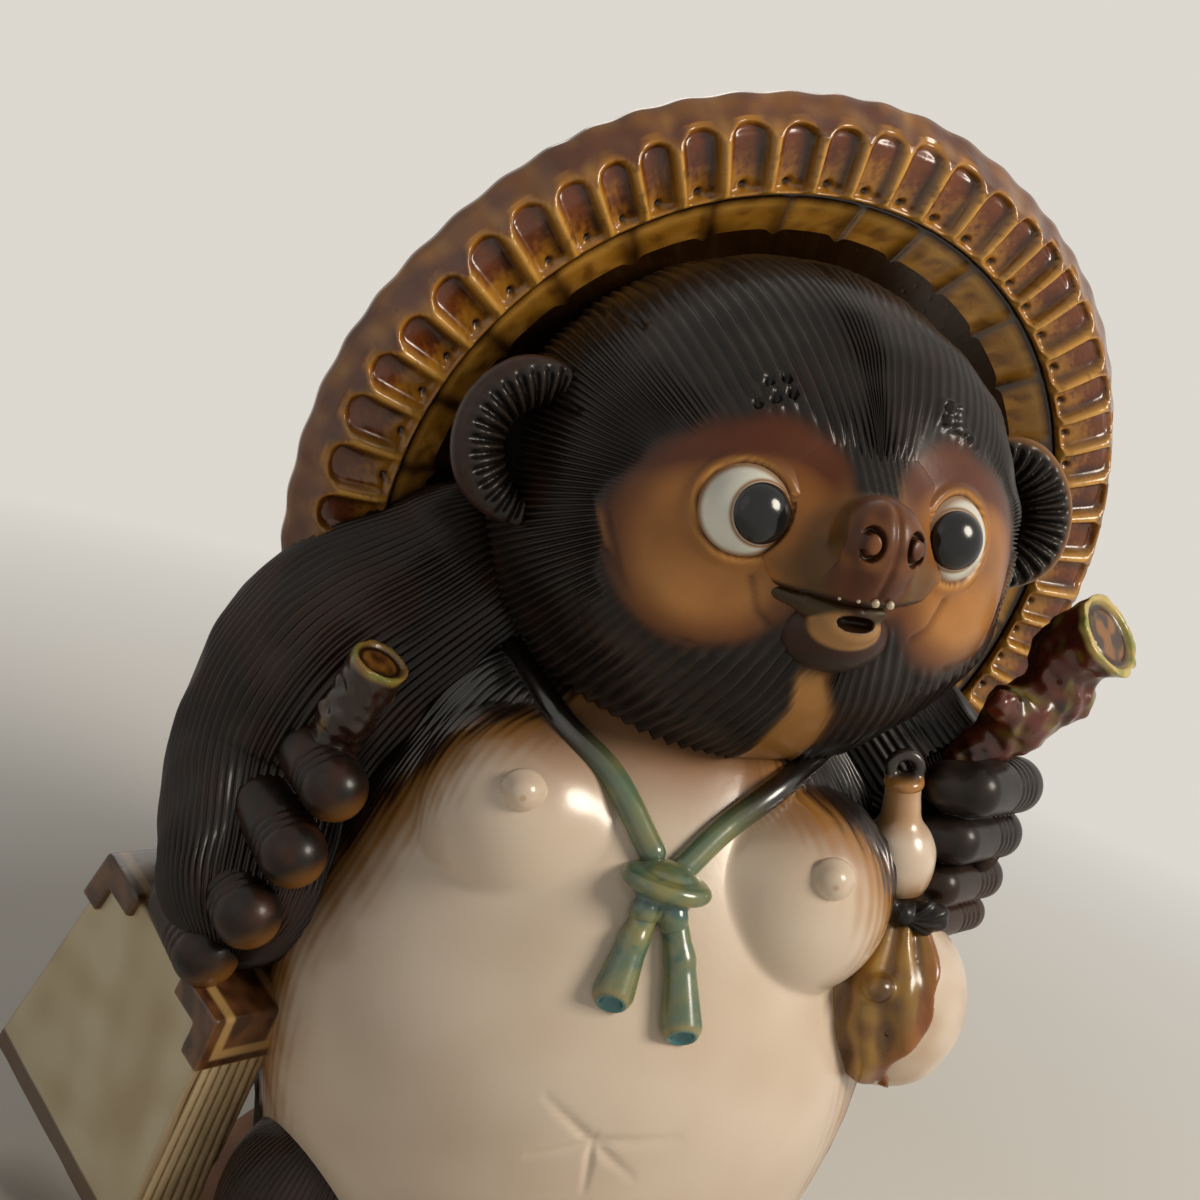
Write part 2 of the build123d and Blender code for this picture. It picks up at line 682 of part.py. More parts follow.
page_thick = LEDGER_THICK - LEDGER_COVER_THICK
groove_pitch = page_thick / (LEDGER_GROOVE_COUNT + 1)
with BuildPart() as ledger_pages:
    add_ledger_slab(LEDGER_COVER_THICK, LEDGER_THICK)
    with Locations(ledger_frame):
        with Locations((LEDGER_TOP_WIDTH / 2, LEDGER_COVER_THICK + page_thick / 2, 0)):
            with GridLocations(0, groove_pitch, 1, LEDGER_GROOVE_COUNT):
                Box(
                    2 * LEDGER_GROOVE_DEPTH,
                    LEDGER_GROOVE_WIDTH,
                    3 * LEDGER_HEIGHT,
                    rotation=(0, -ledger_flare, 0),
                    mode=Mode.SUBTRACT,
                )
    seat_on(*ledger_seats)
pieces["ledger_pages"] = ledger_pages

with BuildPart() as ledger_corner_caps:
    with Locations(ledger_frame):
        for side in (-1, 1):
            with Locations((side * (LEDGER_TOP_WIDTH - CAP_WIDTH) / 2, -CAP_RISE, CAP_RISE)):
                Box(
                    CAP_WIDTH,
                    LEDGER_THICK + CAP_RISE,
                    CAP_HEIGHT + CAP_RISE,
                    align=(Align.CENTER, Align.MIN, Align.MAX),
                )
    add_ledger_slab(0, LEDGER_THICK, mode=Mode.SUBTRACT)
    seat_on(*ledger_seats)
pieces["ledger_corner_caps"] = ledger_corner_caps

# Gourd flask with its stopper, waist cord and leaf
gourd_axis = Vector(*GOURD_TOP) - Vector(*GOURD_FOOT)
gourd_plane = Plane(Vector(*GOURD_FOOT), x_dir=(1, 0, 0), z_dir=gourd_axis)
gourd_top_level = GOURD_LEVELS[-1][0]
gourd_seats = (torso_form, left_arm, left_fingers)


def add_gourd(rise=0.0):
    """The gourd turned from a smooth outline through its levels, grown by a rise"""
    with BuildSketch(Plane(gourd_plane.origin, x_dir=gourd_plane.x_dir, z_dir=-gourd_plane.y_dir)) as section:
        with BuildLine():
            outline = Spline(*[(radius + rise, level) for level, radius in GOURD_LEVELS])
            Polyline(outline @ 1, (0, gourd_top_level), (0, 0), outline @ 0)
        make_face()
    revolve(section.sketch, axis=Axis(gourd_plane.origin, gourd_plane.z_dir))


with BuildPart() as gourd_flask:
    add_gourd()
    seat_on(*gourd_seats)
pieces["gourd_flask"] = gourd_flask

with BuildPart() as gourd_stopper:
    with BuildSketch(gourd_plane.offset(gourd_top_level)):
        Circle(STOPPER_RADIUS)
    extrude(amount=STOPPER_HEIGHT)
    stopper_top = gourd_stopper.faces().sort_by(Axis(gourd_plane.origin, gourd_plane.z_dir))[-1]
    fillet(stopper_top.edges(), radius=STOPPER_HEIGHT / 3)
    seat_on(*gourd_seats)
pieces["gourd_stopper"] = gourd_stopper

with BuildPart() as gourd_waist_cord:
    with Locations(gourd_plane.offset(GOURD_WAIST_LEVEL)):
        Torus(GOURD_WAIST_RADIUS + WAIST_CORD_RADIUS / 2, WAIST_CORD_RADIUS)
    seat_on(gourd_flask, *gourd_seats)
pieces["gourd_waist_cord"] = gourd_waist_cord

leaf_centre = gourd_plane.from_local_coords(Vector(LEAF_SHIFT_X, 0, GOURD_BELLY_LEVEL))
leaf_plane = Plane(leaf_centre, x_dir=(1, 0, 0), z_dir=(0, -1, 0))
with BuildPart() as leaf_skin:
    add_gourd(LEAF_RISE)

with BuildPart() as gourd_leaf:
    with BuildSketch(leaf_plane):
        with BuildLine():
            ThreePointArc((0, -LEAF_HEIGHT / 2), (LEAF_HALF_WIDTH, 0), (0, LEAF_HEIGHT / 2))
            ThreePointArc((0, LEAF_HEIGHT / 2), (-LEAF_HALF_WIDTH, 0), (0, -LEAF_HEIGHT / 2))
        make_face()
    extrude(amount=FRONT_REACH)
    add(leaf_skin.part, mode=Mode.INTERSECT)
    seat_on(gourd_flask, gourd_waist_cord, *gourd_seats)
pieces["gourd_leaf"] = gourd_leaf

# Branches with hollow cut ends
branch_rows = (
    ("right_branch", RIGHT_BRANCH_POINTS, RIGHT_BRANCH_RADII, (right_arm, right_fingers, torso_form)),
    ("left_branch", LEFT_BRANCH_POINTS, LEFT_BRANCH_RADII, (left_arm, left_fingers, torso_form, head_form)),
)
for name, points, radii, seats in branch_rows:
    with BuildPart() as branch:
        add_chain(points, radii, BRANCH_KNUCKLE_STEP)
        cut_end = Vector(*points[-1])
        with Locations(Plane(cut_end, z_dir=cut_end - Vector(*points[-2]))):
            Cylinder(BRANCH_SOCKET_SHARE * radii[-1], 2 * BRANCH_SOCKET_DEPTH, mode=Mode.SUBTRACT)
        seat_on(*seats)
    pieces[name] = branch

os.makedirs("parts", exist_ok=True)
for label, piece in pieces.items():
    piece.part.label = label
    export_step(piece.part, f"parts/{label}.step")
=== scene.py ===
"""A glazed stoneware tanuki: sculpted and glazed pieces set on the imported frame"""

import bpy
import numpy as np
import openvdb
from mathutils import Matrix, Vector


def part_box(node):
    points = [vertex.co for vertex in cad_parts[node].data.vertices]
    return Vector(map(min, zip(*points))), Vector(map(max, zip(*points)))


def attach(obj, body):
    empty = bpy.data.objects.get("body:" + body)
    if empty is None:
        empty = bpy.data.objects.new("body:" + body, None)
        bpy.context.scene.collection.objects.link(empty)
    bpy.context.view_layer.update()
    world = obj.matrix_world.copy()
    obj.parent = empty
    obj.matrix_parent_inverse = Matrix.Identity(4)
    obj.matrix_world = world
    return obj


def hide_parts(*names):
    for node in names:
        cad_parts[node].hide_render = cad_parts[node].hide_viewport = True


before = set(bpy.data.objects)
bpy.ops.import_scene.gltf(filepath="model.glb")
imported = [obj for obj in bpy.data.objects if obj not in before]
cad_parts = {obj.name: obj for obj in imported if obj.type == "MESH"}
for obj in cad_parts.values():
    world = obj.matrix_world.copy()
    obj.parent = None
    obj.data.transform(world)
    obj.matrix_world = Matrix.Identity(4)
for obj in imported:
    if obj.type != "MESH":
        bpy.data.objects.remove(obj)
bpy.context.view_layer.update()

# Millimetres to metres
MM = 0.001

# Camera, fitted to landmarks of the photograph
CAMERA_PLACE = (-99.7, -578.8, 395.4)
CAMERA_RIGHT = (0.9527, -0.0414, 0.3012)
CAMERA_UP = (-0.2874, 0.2005, 0.9366)
CAMERA_AHEAD = (0.0991, 0.9788, -0.1792)
PHOTO_SIDE = 1200
FOCAL_PIXELS = 1536
SENSOR = 36.0
BACKDROP = (0.72, 0.69, 0.63)
BACKDROP_LIGHT = 0.11
FLOOR_TINT = (0.80, 0.78, 0.74)

# Lamps: place and target in metres, power, size and tint
LAMPS = (
    ("key", (1.1, -0.75, 1.2), (0, 0, 0.3), 21.0, 0.6, (1.0, 0.91, 0.79)),
    ("fill", (-1.1, -0.9, 0.9), (0, 0, 0.25), 1.0, 1.2, (1.0, 0.95, 0.88)),
    ("rim", (-0.2, 1.0, 1.3), (0, 0, 0.3), 4.0, 0.9, (1.0, 0.94, 0.86)),
)

# Body: height, half width, half depth and shift in Y of each level, as in the solids
BODY_X = -8.0
BODY_LEVELS = (
    (14.0, 92.0, 88.0, 0.0),
    (60.0, 104.0, 104.0, -7.0),
    (110.0, 117.0, 113.0, -8.0),
    (150.0, 119.0, 112.0, -8.0),
    (190.0, 108.0, 98.0, -6.0),
    (225.0, 98.0, 84.0, -4.0),
    (255.0, 84.0, 69.0, 0.0),
    (278.0, 56.0, 48.0, 0.0),
)
BODY_SEAM = 98.0
BREAST = (50.0, -57.0, 218.0)
BREAST_RADIUS = 38.0
NIPPLE = (55.0, 236.0)
NAVEL = (-1.0, 138.0)

# Creases of the navel: bearing and length
NAVEL_RAYS = ((152, 22), (12, 30), (-30, 20), (-82, 18), (-150, 22))

# Edge of the cream belly: heights, and degrees from the front at each of them
BELLY_LEVELS = (14, 60, 150, 205, 240, 262, 278)
BELLY_EDGE = (58, 64, 68, 60, 48, 36, 26)

# Head: a round form in its own turned frame
HEAD_CENTRE = (0.0, -16.0, 338.0)
HEAD_TURNS = (15.0, -9.0, -7.0)
HEAD_RADII = (97.0, 91.0, 92.0)
HEAD_SHIFT = (0.0, -2.0, 2.0)
EYE = (37.0, -76.0, 3.0)
LEFT_EYE_SHIFT = (-5.0, -1.5, 0.0)
EYE_RADIUS = 17.0
PUPIL_RADIUS = 9.8
MUZZLE_TURN = np.array((-3.0, 4.0, 0.0))
MUZZLE_FILLET = 14.0
NOSTRIL = (7.6, -117.6, -1.5)
NOSTRIL_RING = 3.9
NOSTRIL_STRETCH = (0.8, 1.15)
LOCK_PITCH = 3.0
LIP_LINE = ((-28.0, -84.0, -20.0), (-18.0, -92.0, -22.6), (-4.0, -98.0, -24.0), (5.0, -98.0, -23.2))
LIP_SCOOP = (-4.5, -100.0, -27.0)
LIP_SCOOP_RADII = (6.4, 5.5, 2.5)
EAR = (90.0, -24.0, 14.0)
EAR_RING = 22.5
EAR_RIBS = 30

# Teeth: place in X and Y and radius of each
TEETH = ((-13.0, -102.9, 0.6), (-8.0, -105.9, 0.7), (-3.0, -107.7, 1.3), (2.2, -107.7, 1.3))
TEETH_HEIGHT = -19.4

# Lines and dots carved in the face, by their way out to a side and height in the head's frame
CHEEK_LINE = ((79, 1), (74, -13), (67, -25), (58, -35), (47, -40))
CHEEK_DASHES = ((80, -24), (78, -30), (74, -39), (68, -47), (59, -53))
CHEEK_ARC = ((57, -25), (53, -28), (50, -31), (47, -37))
MOUTH_ARC = ((35, -17), (33, -22), (31, -27), (26, -31))
BROW_DOTS = ((38, 37), (33, 39), (28, 41), (35, 44), (29.5, 45.5))
CHEEK_DOTS = ((42.5, -44), (37.5, -43.5), (44, -48.5), (39.5, -48.5))

# Hat, slung behind the head
HAT_CENTRE = (10.0, 40.0, 316.0)
HAT_TURNS = (21.0, 12.0, 0.0)
HAT_INNER = 149.0
HAT_CROWN = 52.0
HAT_DEPTH = 84.0
HAT_WALL = 9.0
HAT_RIBS = 30
PLEATS = 60
PLEAT_LENGTH = 27.0

# Section of the hat's rim, as radius and height: from the inner step over the pleats to the band and the back
RIM_OUTLINE = (
    (HAT_INNER, -9.0), (HAT_INNER, -4.0), (HAT_INNER, 2.6), (150.4, 5.6), (154.0, 6.8), (160.0, 7.2),
    (167.0, 7.4), (171.0, 7.0), (174.0, 5.0), (176.5, 1.2), (179.5, -3.2), (182.0, -6.6),
    (183.2, -9.0), (183.0, -12.0), (181.0, -16.0), (176.0, -15.6), (165.0, -13.0), (157.0, -11.0),
)

# Arms, cord, fingers, tail and branches, as points and radii
RIGHT_ARM = ((-96.0, -4.0, 282.0), (-128.0, -10.0, 244.0), (-142.0, -16.0, 195.0), (-138.0, -42.0, 160.0))
RIGHT_ARM_RADII = (36.0, 44.0, 39.0, 32.0)
LEFT_ARM = ((78.0, 12.0, 276.0), (103.0, 2.0, 256.0), (114.0, -20.0, 246.0))
LEFT_ARM_RADII = (33.0, 33.0, 20.0)
CORD_RIGHT = ((-96.0, 284.0), (-74.0, 270.0), (-48.0, 257.0), (-26.0, 246.0), (-7.0, 228.0))
CORD_LEFT = ((70.0, 278.0), (54.0, 268.0), (34.0, 257.0), (16.0, 240.0), (5.0, 226.0))
CORD_RADIUS = 4.8
CORD_RIGHT_TAIL = ((-3.0, 215.0), (-6.0, 201.0), (-8.0, 185.0))
CORD_LEFT_TAIL = ((4.0, 214.0), (11.0, 199.0), (17.0, 180.0))
CORD_KNOT = (0.0, 219.0)
RIGHT_FINGERS = (
    (-116.0, -66.0, 211.0),
    (-123.0, -72.0, 186.0),
    (-132.0, -74.0, 161.0),
    (-143.0, -64.0, 138.0),
)
RIGHT_WRINKLES = (3.0, 6.5, 10.0)
FINGER_REACH = (-15.0, 22.0, 6.0)
FINGER_RADIUS = 11.5
LEFT_FINGERS = ((271.0, 11.0), (251.0, 10.0), (232.5, 9.0), (217.0, 7.4))
LEFT_FINGER_ROOT = (131.0, -21.0)
LEFT_FINGER_BEND = (107.0, -48.0)
LEFT_FINGER_TIP = (99.0, -45.0)
LEFT_WRINKLES = (5.0, 9.0, 13.0, 17.0)
TAIL = ((0.0, 84.0, 44.0), (6.0, 110.0, 46.0), (16.0, 128.0, 70.0), (14.0, 124.0, 104.0))
TAIL_RADII = (24.0, 26.0, 24.0, 13.0)
RIGHT_BRANCH = ((-124.0, -52.0, 216.0), (-113.0, -64.0, 259.0))
RIGHT_BRANCH_RADII = (9.0, 10.5)
LEFT_BRANCH = (
    (108.0, -26.0, 274.0),
    (121.0, -28.0, 299.0),
    (132.0, -26.0, 312.0),
    (131.0, -25.0, 327.0),
    (139.0, -36.0, 339.0),
)
LEFT_BRANCH_RADII = (9.0, 10.0, 12.0, 12.0, 16.0)
BRANCH_GROOVE = 0.72

# Base, and the legs, feet and sack that stand on it
BASE_THICK = 14.0
LEG = (66.0, -62.0, 48.0)
FOOT = (62.0, -86.0, 26.0)
TOE_PITCH = 10.0
SACK = (BODY_X, -92.0, 46.0)

# Outline of the base's side: shares of its half width and of its height
BASE_OUTLINE = (
    (0.96, 0.0), (0.995, 0.10), (1.0, 0.45), (0.998, 0.72), (0.985, 0.9), (0.955, 1.0), (0.7, 1.0),
)

# Ledger and gourd flask
LEDGER_TOP = (-160.0, -52.0, 133.0)
LEDGER_TURN = -43.0
LEDGER_SLANT = 17.0
LEDGER_TOP_WIDTH = 80.0
LEDGER_FOOT_WIDTH = 106.0
LEDGER_HEIGHT = 110.0
LEDGER_THICK = 34.0
LEDGER_COVER = 4.0
GOURD_FOOT = (111.0, -46.0, 154.0)
GOURD_TOP = (79.0, -52.0, 268.0)
GOURD_WAIST = 74.0
GOURD_LEVELS = (
    (0.0, 10.0), (5.0, 18.0), (16.0, 26.0), (35.0, 30.0), (52.0, 25.5), (66.0, 14.0), (GOURD_WAIST, 10.0),
    (80.0, 12.4), (87.0, 13.8), (94.0, 13.4), (99.0, 11.2), (103.0, 8.2), (110.0, 6.8), (118.0, 6.4),
)

# Cloth on the gourd: bearing of its middle from the front towards the statue's right, half its spread,
# and the slant of its hem about a level
CLOTH_MIDDLE = 48.0
CLOTH_SPREAD = 62.0
CLOTH_SLANT = 1.0
CLOTH_LEVEL = 36.0

# Partings combed into the hair of the back and of the head
PARTINGS = 7
PARTING_STEP = 24.0
PARTING_DEPTH = 1.6
PARTING_HALF = 1.5

# The statue's own sides, as signs of X
SIDES = (("right", -1), ("left", 1))

# Rows of points that round off each end of a tube
END_ROWS = 10

# A distance that stands for no form yet
FAR = 99.0

# Waves summed up in a noise
NOISE_WAVES = 20


# Small tools for numbers, colours and forms

def colour(code):
    """A colour written as a web code, in linear light"""
    channels = np.array([int(code[i : i + 2], 16) / 255 for i in (1, 3, 5)])
    return np.where(channels <= 0.04045, channels / 12.92, ((channels + 0.055) / 1.055) ** 2.4)


def unit(x):
    """Values held between 0 and 1"""
    return np.clip(x, 0, 1)


def bell(x):
    """A bump of height 1 about zero"""
    return np.exp(-(x**2))


def norm(vectors):
    """The lengths of vectors"""
    return np.linalg.norm(vectors, axis=-1)


def parts(points):
    """The X, Y and Z of points"""
    return points[..., 0], points[..., 1], points[..., 2]


def direction(vectors):
    """Vectors brought to unit length"""
    return vectors / np.linalg.norm(vectors, axis=-1, keepdims=True)


def full_turn(count):
    """Angles spread evenly round a circle"""
    return np.linspace(0, 2 * np.pi, count, endpoint=False)


def ramp(low, high, x):
    """A smooth step from 0 at low to 1 at high"""
    t = unit((np.asarray(x, float) - low) / (high - low))
    return t * t * (3 - 2 * t)


def mix(a, b, share):
    """A blend of two colours or fields of colours"""
    share = np.asarray(share, float)[..., None]
    return a * (1 - share) + b * share


def mottled(first, second, share, spread, tone):
    """Two colours blended by a noise about a share"""
    return mix(first, second, unit(share + spread * tone))


def smooth_min(a, b, k):
    """The lesser of two fields, rounded where they meet"""
    h = unit(0.5 + 0.5 * (b - a) / k)
    return b * (1 - h) + a * h - k * h * (1 - h)


def carve(form, tool, k):
    """A form with a tool's form taken away, rounded where they meet"""
    return -smooth_min(-form, tool, k)


def turns(z, x, y):
    """A rotation about Z, then X, then Y of the turned frame"""
    cz, cx, cy = np.cos(np.radians((z, x, y)))
    sz, sx, sy = np.sin(np.radians((z, x, y)))
    about_z = np.array(((cz, -sz, 0), (sz, cz, 0), (0, 0, 1)))
    about_x = np.array(((1, 0, 0), (0, cx, -sx), (0, sx, cx)))
    about_y = np.array(((cy, 0, sy), (0, 1, 0), (-sy, 0, cy)))
    return about_z @ about_x @ about_y


def wave_noise(points, size, seed):
    """A soft noise of about unit spread, made of waves about as long as the size"""
    draw = np.random.default_rng(seed)
    total = np.zeros(points.shape[:-1])
    for _ in range(NOISE_WAVES):
        direction = draw.normal(size=3)
        direction /= np.linalg.norm(direction) * size * draw.uniform(0.6, 1.7)
        total += np.sin(2 * np.pi * (points @ direction + draw.uniform()))
    return total * np.sqrt(2 / NOISE_WAVES)


def through(knots, values, x):
    """A smooth curve through values at rising knots"""
    knots = np.asarray(knots, float)
    values = np.asarray(values, float)
    slopes = np.gradient(values, knots, axis=0)
    i = np.clip(np.searchsorted(knots, x) - 1, 0, len(knots) - 2)
    span = knots[i + 1] - knots[i]
    t = (x - knots[i]) / span
    if values.ndim == 2:
        t = t[..., None]
        span = span[..., None]
    h = t * t * (3 - 2 * t)
    bend = t * (1 - t) * span
    return values[i] * (1 - h) + values[i + 1] * h + bend * ((1 - t) * slopes[i] - t * slopes[i + 1])


def path_distance(points, path):
    """The distance from points to a path of straight runs"""
    best = np.full(points.shape[:-1], np.inf)
    for start, stop in zip(path[:-1], path[1:]):
        run = np.subtract(stop, start)
        share = unit((points - start) @ run / (run @ run))
        best = np.minimum(best, norm(points - start - share[..., None] * run))
    return best


# Pieces from meshes

def make_piece(name, points, quads, paint, coat, nodes, triangles=None, comb=None):
    """A mesh piece in the frame, with its glaze colours and comb lines kept at its points"""
    slot, material = coat
    faces = [quads] if triangles is None else [quads, triangles]
    a, b, c = (points[quads[:, i]] for i in range(3))
    if np.sum(np.cross(b - a, c - a) * (a + c)) < 0 and len(quads):
        faces = [rows[:, ::-1] for rows in faces]
    mesh = bpy.data.meshes.new(name)
    mesh.vertices.add(len(points))
    mesh.vertices.foreach_set("co", (points * MM).astype(np.float32).ravel())
    corners = np.concatenate([rows.ravel() for rows in faces])
    sizes = np.concatenate([np.full(len(rows), rows.shape[1]) for rows in faces])
    mesh.loops.add(len(corners))
    mesh.loops.foreach_set("vertex_index", corners.astype(np.int32))
    mesh.polygons.add(len(sizes))
    mesh.polygons.foreach_set("loop_start", np.concatenate(([0], np.cumsum(sizes)[:-1])).astype(np.int32))
    mesh.polygons.foreach_set("use_smooth", np.ones(len(sizes), bool))
    mesh.update(calc_edges=True)
    mesh.validate()
    tint = np.ones((len(points), 4), np.float32)
    tint[:, :3] = unit(paint)
    mesh.attributes.new("Paint", "FLOAT_COLOR", "POINT").data.foreach_set("color", tint.ravel())
    if comb is not None:
        mesh.attributes.new("Comb", "FLOAT", "POINT").data.foreach_set("value", comb.astype(np.float32))
    piece = bpy.data.objects.new(name, mesh)
    bpy.context.scene.collection.objects.link(piece)
    mesh.materials.append(material)
    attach(piece, "root")
    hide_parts(*nodes)


def grid_quads(rows, columns):
    """The faces of a grid that closes on itself round its columns"""
    index = np.arange(rows * columns).reshape(rows, columns)
    after = np.roll(index, -1, axis=1)
    return np.stack((index[:-1], after[:-1], after[1:], index[1:]), axis=-1).reshape(-1, 4)


def grid_normals(points):
    """Outward directions of a grid that closes on itself round its columns"""
    round_about = np.roll(points, -1, axis=1) - np.roll(points, 1, axis=1)
    along = np.gradient(points, axis=0)
    normals = np.cross(round_about, along)
    size = np.linalg.norm(normals, axis=-1, keepdims=True)
    return normals / np.maximum(size, 1e-9)


def grid_piece(name, points, paint, coat, nodes):
    """A closed piece from a grid of rows and columns, with a fan over each end"""
    rows, columns = points.shape[:2]
    ends = np.array([points[0].mean(0), points[-1].mean(0)])
    flat = np.concatenate((points.reshape(-1, 3), ends))
    tint = np.concatenate((paint.reshape(-1, 3), [paint[0].mean(0), paint[-1].mean(0)]))
    first = np.arange(columns)
    last = first + (rows - 1) * columns
    low_fan = np.stack((np.full(columns, rows * columns), np.roll(first, -1), first), axis=-1)
    high_fan = np.stack((np.full(columns, rows * columns + 1), last, np.roll(last, -1)), axis=-1)
    fans = np.concatenate((low_fan, high_fan))
    make_piece(name, flat, grid_quads(rows, columns), tint, coat, nodes, fans)


def voxel_piece(name, form, low, high, step, painter, coat, nodes, place=None, comb=None):
    """A piece whose skin is where a field of distances is zero, found on small cells"""
    axes = [np.arange(start, stop + step, step) for start, stop in zip(low, high)]
    cells = np.stack(np.meshgrid(*axes, indexing="ij"), axis=-1)
    band = 4 * step
    volume = openvdb.FloatGrid(band)
    volume.copyFromArray(np.clip(form(cells), -band, band).astype(np.float32))
    points, quads = volume.convertToQuads(0.0)
    points = points.astype(float) * step + np.asarray(low)
    tint = painter(points)
    lines = None if comb is None else comb(points)
    if place is not None:
        points = points @ place[0].T + place[1]
    make_piece(name, points, quads.astype(int), tint, coat, nodes, comb=lines)


def ball(p, centre, radii):
    """Distance to an ellipsoid, about true near its skin"""
    q = (p - centre) / radii
    k0 = norm(q)
    k1 = norm(q / radii)
    return k0 * (k0 - 1) / np.maximum(k1, 1e-9)


def limb(p, start, stop, start_radius, stop_radius):
    """Distance to a straight tapered limb with round ends"""
    run = np.subtract(stop, start)
    share = unit((p - start) @ run / (run @ run))
    reach = norm(p - start - share[..., None] * run)
    return reach - (start_radius + (stop_radius - start_radius) * share)


def block(p, centre, half, rounding):
    """Distance to a box with rounded edges"""
    q = np.abs(p - centre) - (np.asarray(half) - rounding)
    outside = norm(np.maximum(q, 0))
    return outside + np.minimum(np.max(q, axis=-1), 0) - rounding


def tube(points, radii, columns, rows):
    """A round-ended grid about a smooth line through points, with the line's share of the way at each row"""
    knots = np.linspace(0, 1, len(points))
    share = np.linspace(0, 1, rows)
    line = through(knots, points, share)
    radius = through(knots, radii, share)
    along = direction(np.gradient(line, axis=0))
    bow = np.radians(np.linspace(85, 5, END_ROWS))
    start = line[0] - along[0] * radius[0] * np.sin(bow)[:, None]
    stop = line[-1] + along[-1] * radius[-1] * np.sin(bow[::-1])[:, None]
    line = np.concatenate((start, line, stop))
    radius = np.concatenate((radius[0] * np.cos(bow), radius, radius[-1] * np.cos(bow[::-1])))
    along = np.concatenate((np.repeat(along[:1], END_ROWS, 0), along, np.repeat(along[-1:], END_ROWS, 0)))
    share = np.concatenate((np.zeros(END_ROWS), share, np.ones(END_ROWS)))
    side = np.empty_like(line)
    side[0] = np.cross(along[0], (0.31, 0.83, 0.46))
    for row in range(1, len(line)):
        side[row] = side[row - 1] - along[row] * (side[row - 1] @ along[row])
    side = direction(side)
    other = np.cross(along, side)
    angle = full_turn(columns)
    round_about = np.cos(angle)[:, None] * side[:, None] + np.sin(angle)[:, None] * other[:, None]
    return line[:, None] + radius[:, None, None] * round_about, np.repeat(share[:, None], columns, axis=1)


def comb_waves(rows, columns, half_groove):
    """Waves of comb-cut grooves along the columns of a grid, 1 on a ridge"""
    return np.cos(np.arange(columns) * np.pi / half_groove)[None] * np.ones((rows, 1))


def combed_tube(points, radii, columns, rows, half_groove):
    """A tube with its outward directions and comb waves"""
    grid, _ = tube(np.array(points), np.array(radii), columns, rows)
    normals = grid_normals(grid)
    row = rows // 2
    if np.sum(normals[row] * (grid[row] - grid[row].mean(0))) < 0:
        normals = -normals
    return grid, normals, comb_waves(len(grid), columns, half_groove)


# Glazes

def node(tree, kind, **values):
    """A node of a shader, with its settings and inputs"""
    made = tree.nodes.new(kind)
    for key, value in values.items():
        if hasattr(made, key):
            setattr(made, key, value)
        else:
            made.inputs[key].default_value = value
    return made


def glaze(slot, roughness, coat, mottle, mottle_scale, pits=0.0, comb_depth=0.0, shine=0.5):
    """A fired glaze over the colours painted on a piece, with mottling, orange peel and pin holes"""
    material = bpy.data.materials.new(slot)
    material.use_nodes = True
    tree = material.node_tree
    shader = tree.nodes["Principled BSDF"]
    link = tree.links.new

    def noise(scale, detail):
        made = node(tree, "ShaderNodeTexNoise", Scale=scale, Detail=detail)
        link(place.outputs["Object"], made.inputs["Vector"])
        return made

    place = node(tree, "ShaderNodeTexCoord")
    paint = node(tree, "ShaderNodeAttribute", attribute_name="Paint")
    cloud = noise(mottle_scale, 6.0)
    spread = node(tree, "ShaderNodeMapRange", **{"To Min": 1 - mottle, "To Max": 1 + mottle})
    link(cloud.outputs["Fac"], spread.inputs["Value"])
    tinted = node(tree, "ShaderNodeVectorMath", operation="SCALE")
    link(paint.outputs["Color"], tinted.inputs[0])
    link(spread.outputs["Result"], tinted.inputs["Scale"])
    link(tinted.outputs["Vector"], shader.inputs["Base Color"])
    patches = noise(mottle_scale * 0.5, 3.0)
    sheen = node(tree, "ShaderNodeMapRange", **{"To Min": roughness - 0.08, "To Max": roughness + 0.10})
    link(patches.outputs["Fac"], sheen.inputs["Value"])
    link(sheen.outputs["Result"], shader.inputs["Roughness"])
    peel = noise(260.0, 2.0)
    bump = node(tree, "ShaderNodeBump", Strength=0.12, Distance=0.0006)
    link(peel.outputs["Fac"], bump.inputs["Height"])
    surface = bump
    if pits:
        holes = node(tree, "ShaderNodeTexVoronoi", Scale=170.0)
        link(place.outputs["Object"], holes.inputs["Vector"])
        rim = node(tree, "ShaderNodeMapRange", **{"From Max": 0.22})
        link(holes.outputs["Distance"], rim.inputs["Value"])
        surface = node(tree, "ShaderNodeBump", Strength=pits, Distance=0.0005)
        link(rim.outputs["Result"], surface.inputs["Height"])
        link(bump.outputs["Normal"], surface.inputs["Normal"])
    if comb_depth:
        comb = node(tree, "ShaderNodeAttribute", attribute_name="Comb")
        wave = node(tree, "ShaderNodeMath", operation="SINE")
        link(comb.outputs["Fac"], wave.inputs[0])
        lines = node(tree, "ShaderNodeBump", Strength=comb_depth, Distance=0.0008)
        link(wave.outputs["Value"], lines.inputs["Height"])
        link(surface.outputs["Normal"], lines.inputs["Normal"])
        surface = lines
    link(surface.outputs["Normal"], shader.inputs["Normal"])
    shader.inputs["Specular IOR Level"].default_value = shine
    shader.inputs["Coat Weight"].default_value = coat
    shader.inputs["Coat Roughness"].default_value = 0.16
    return slot, material


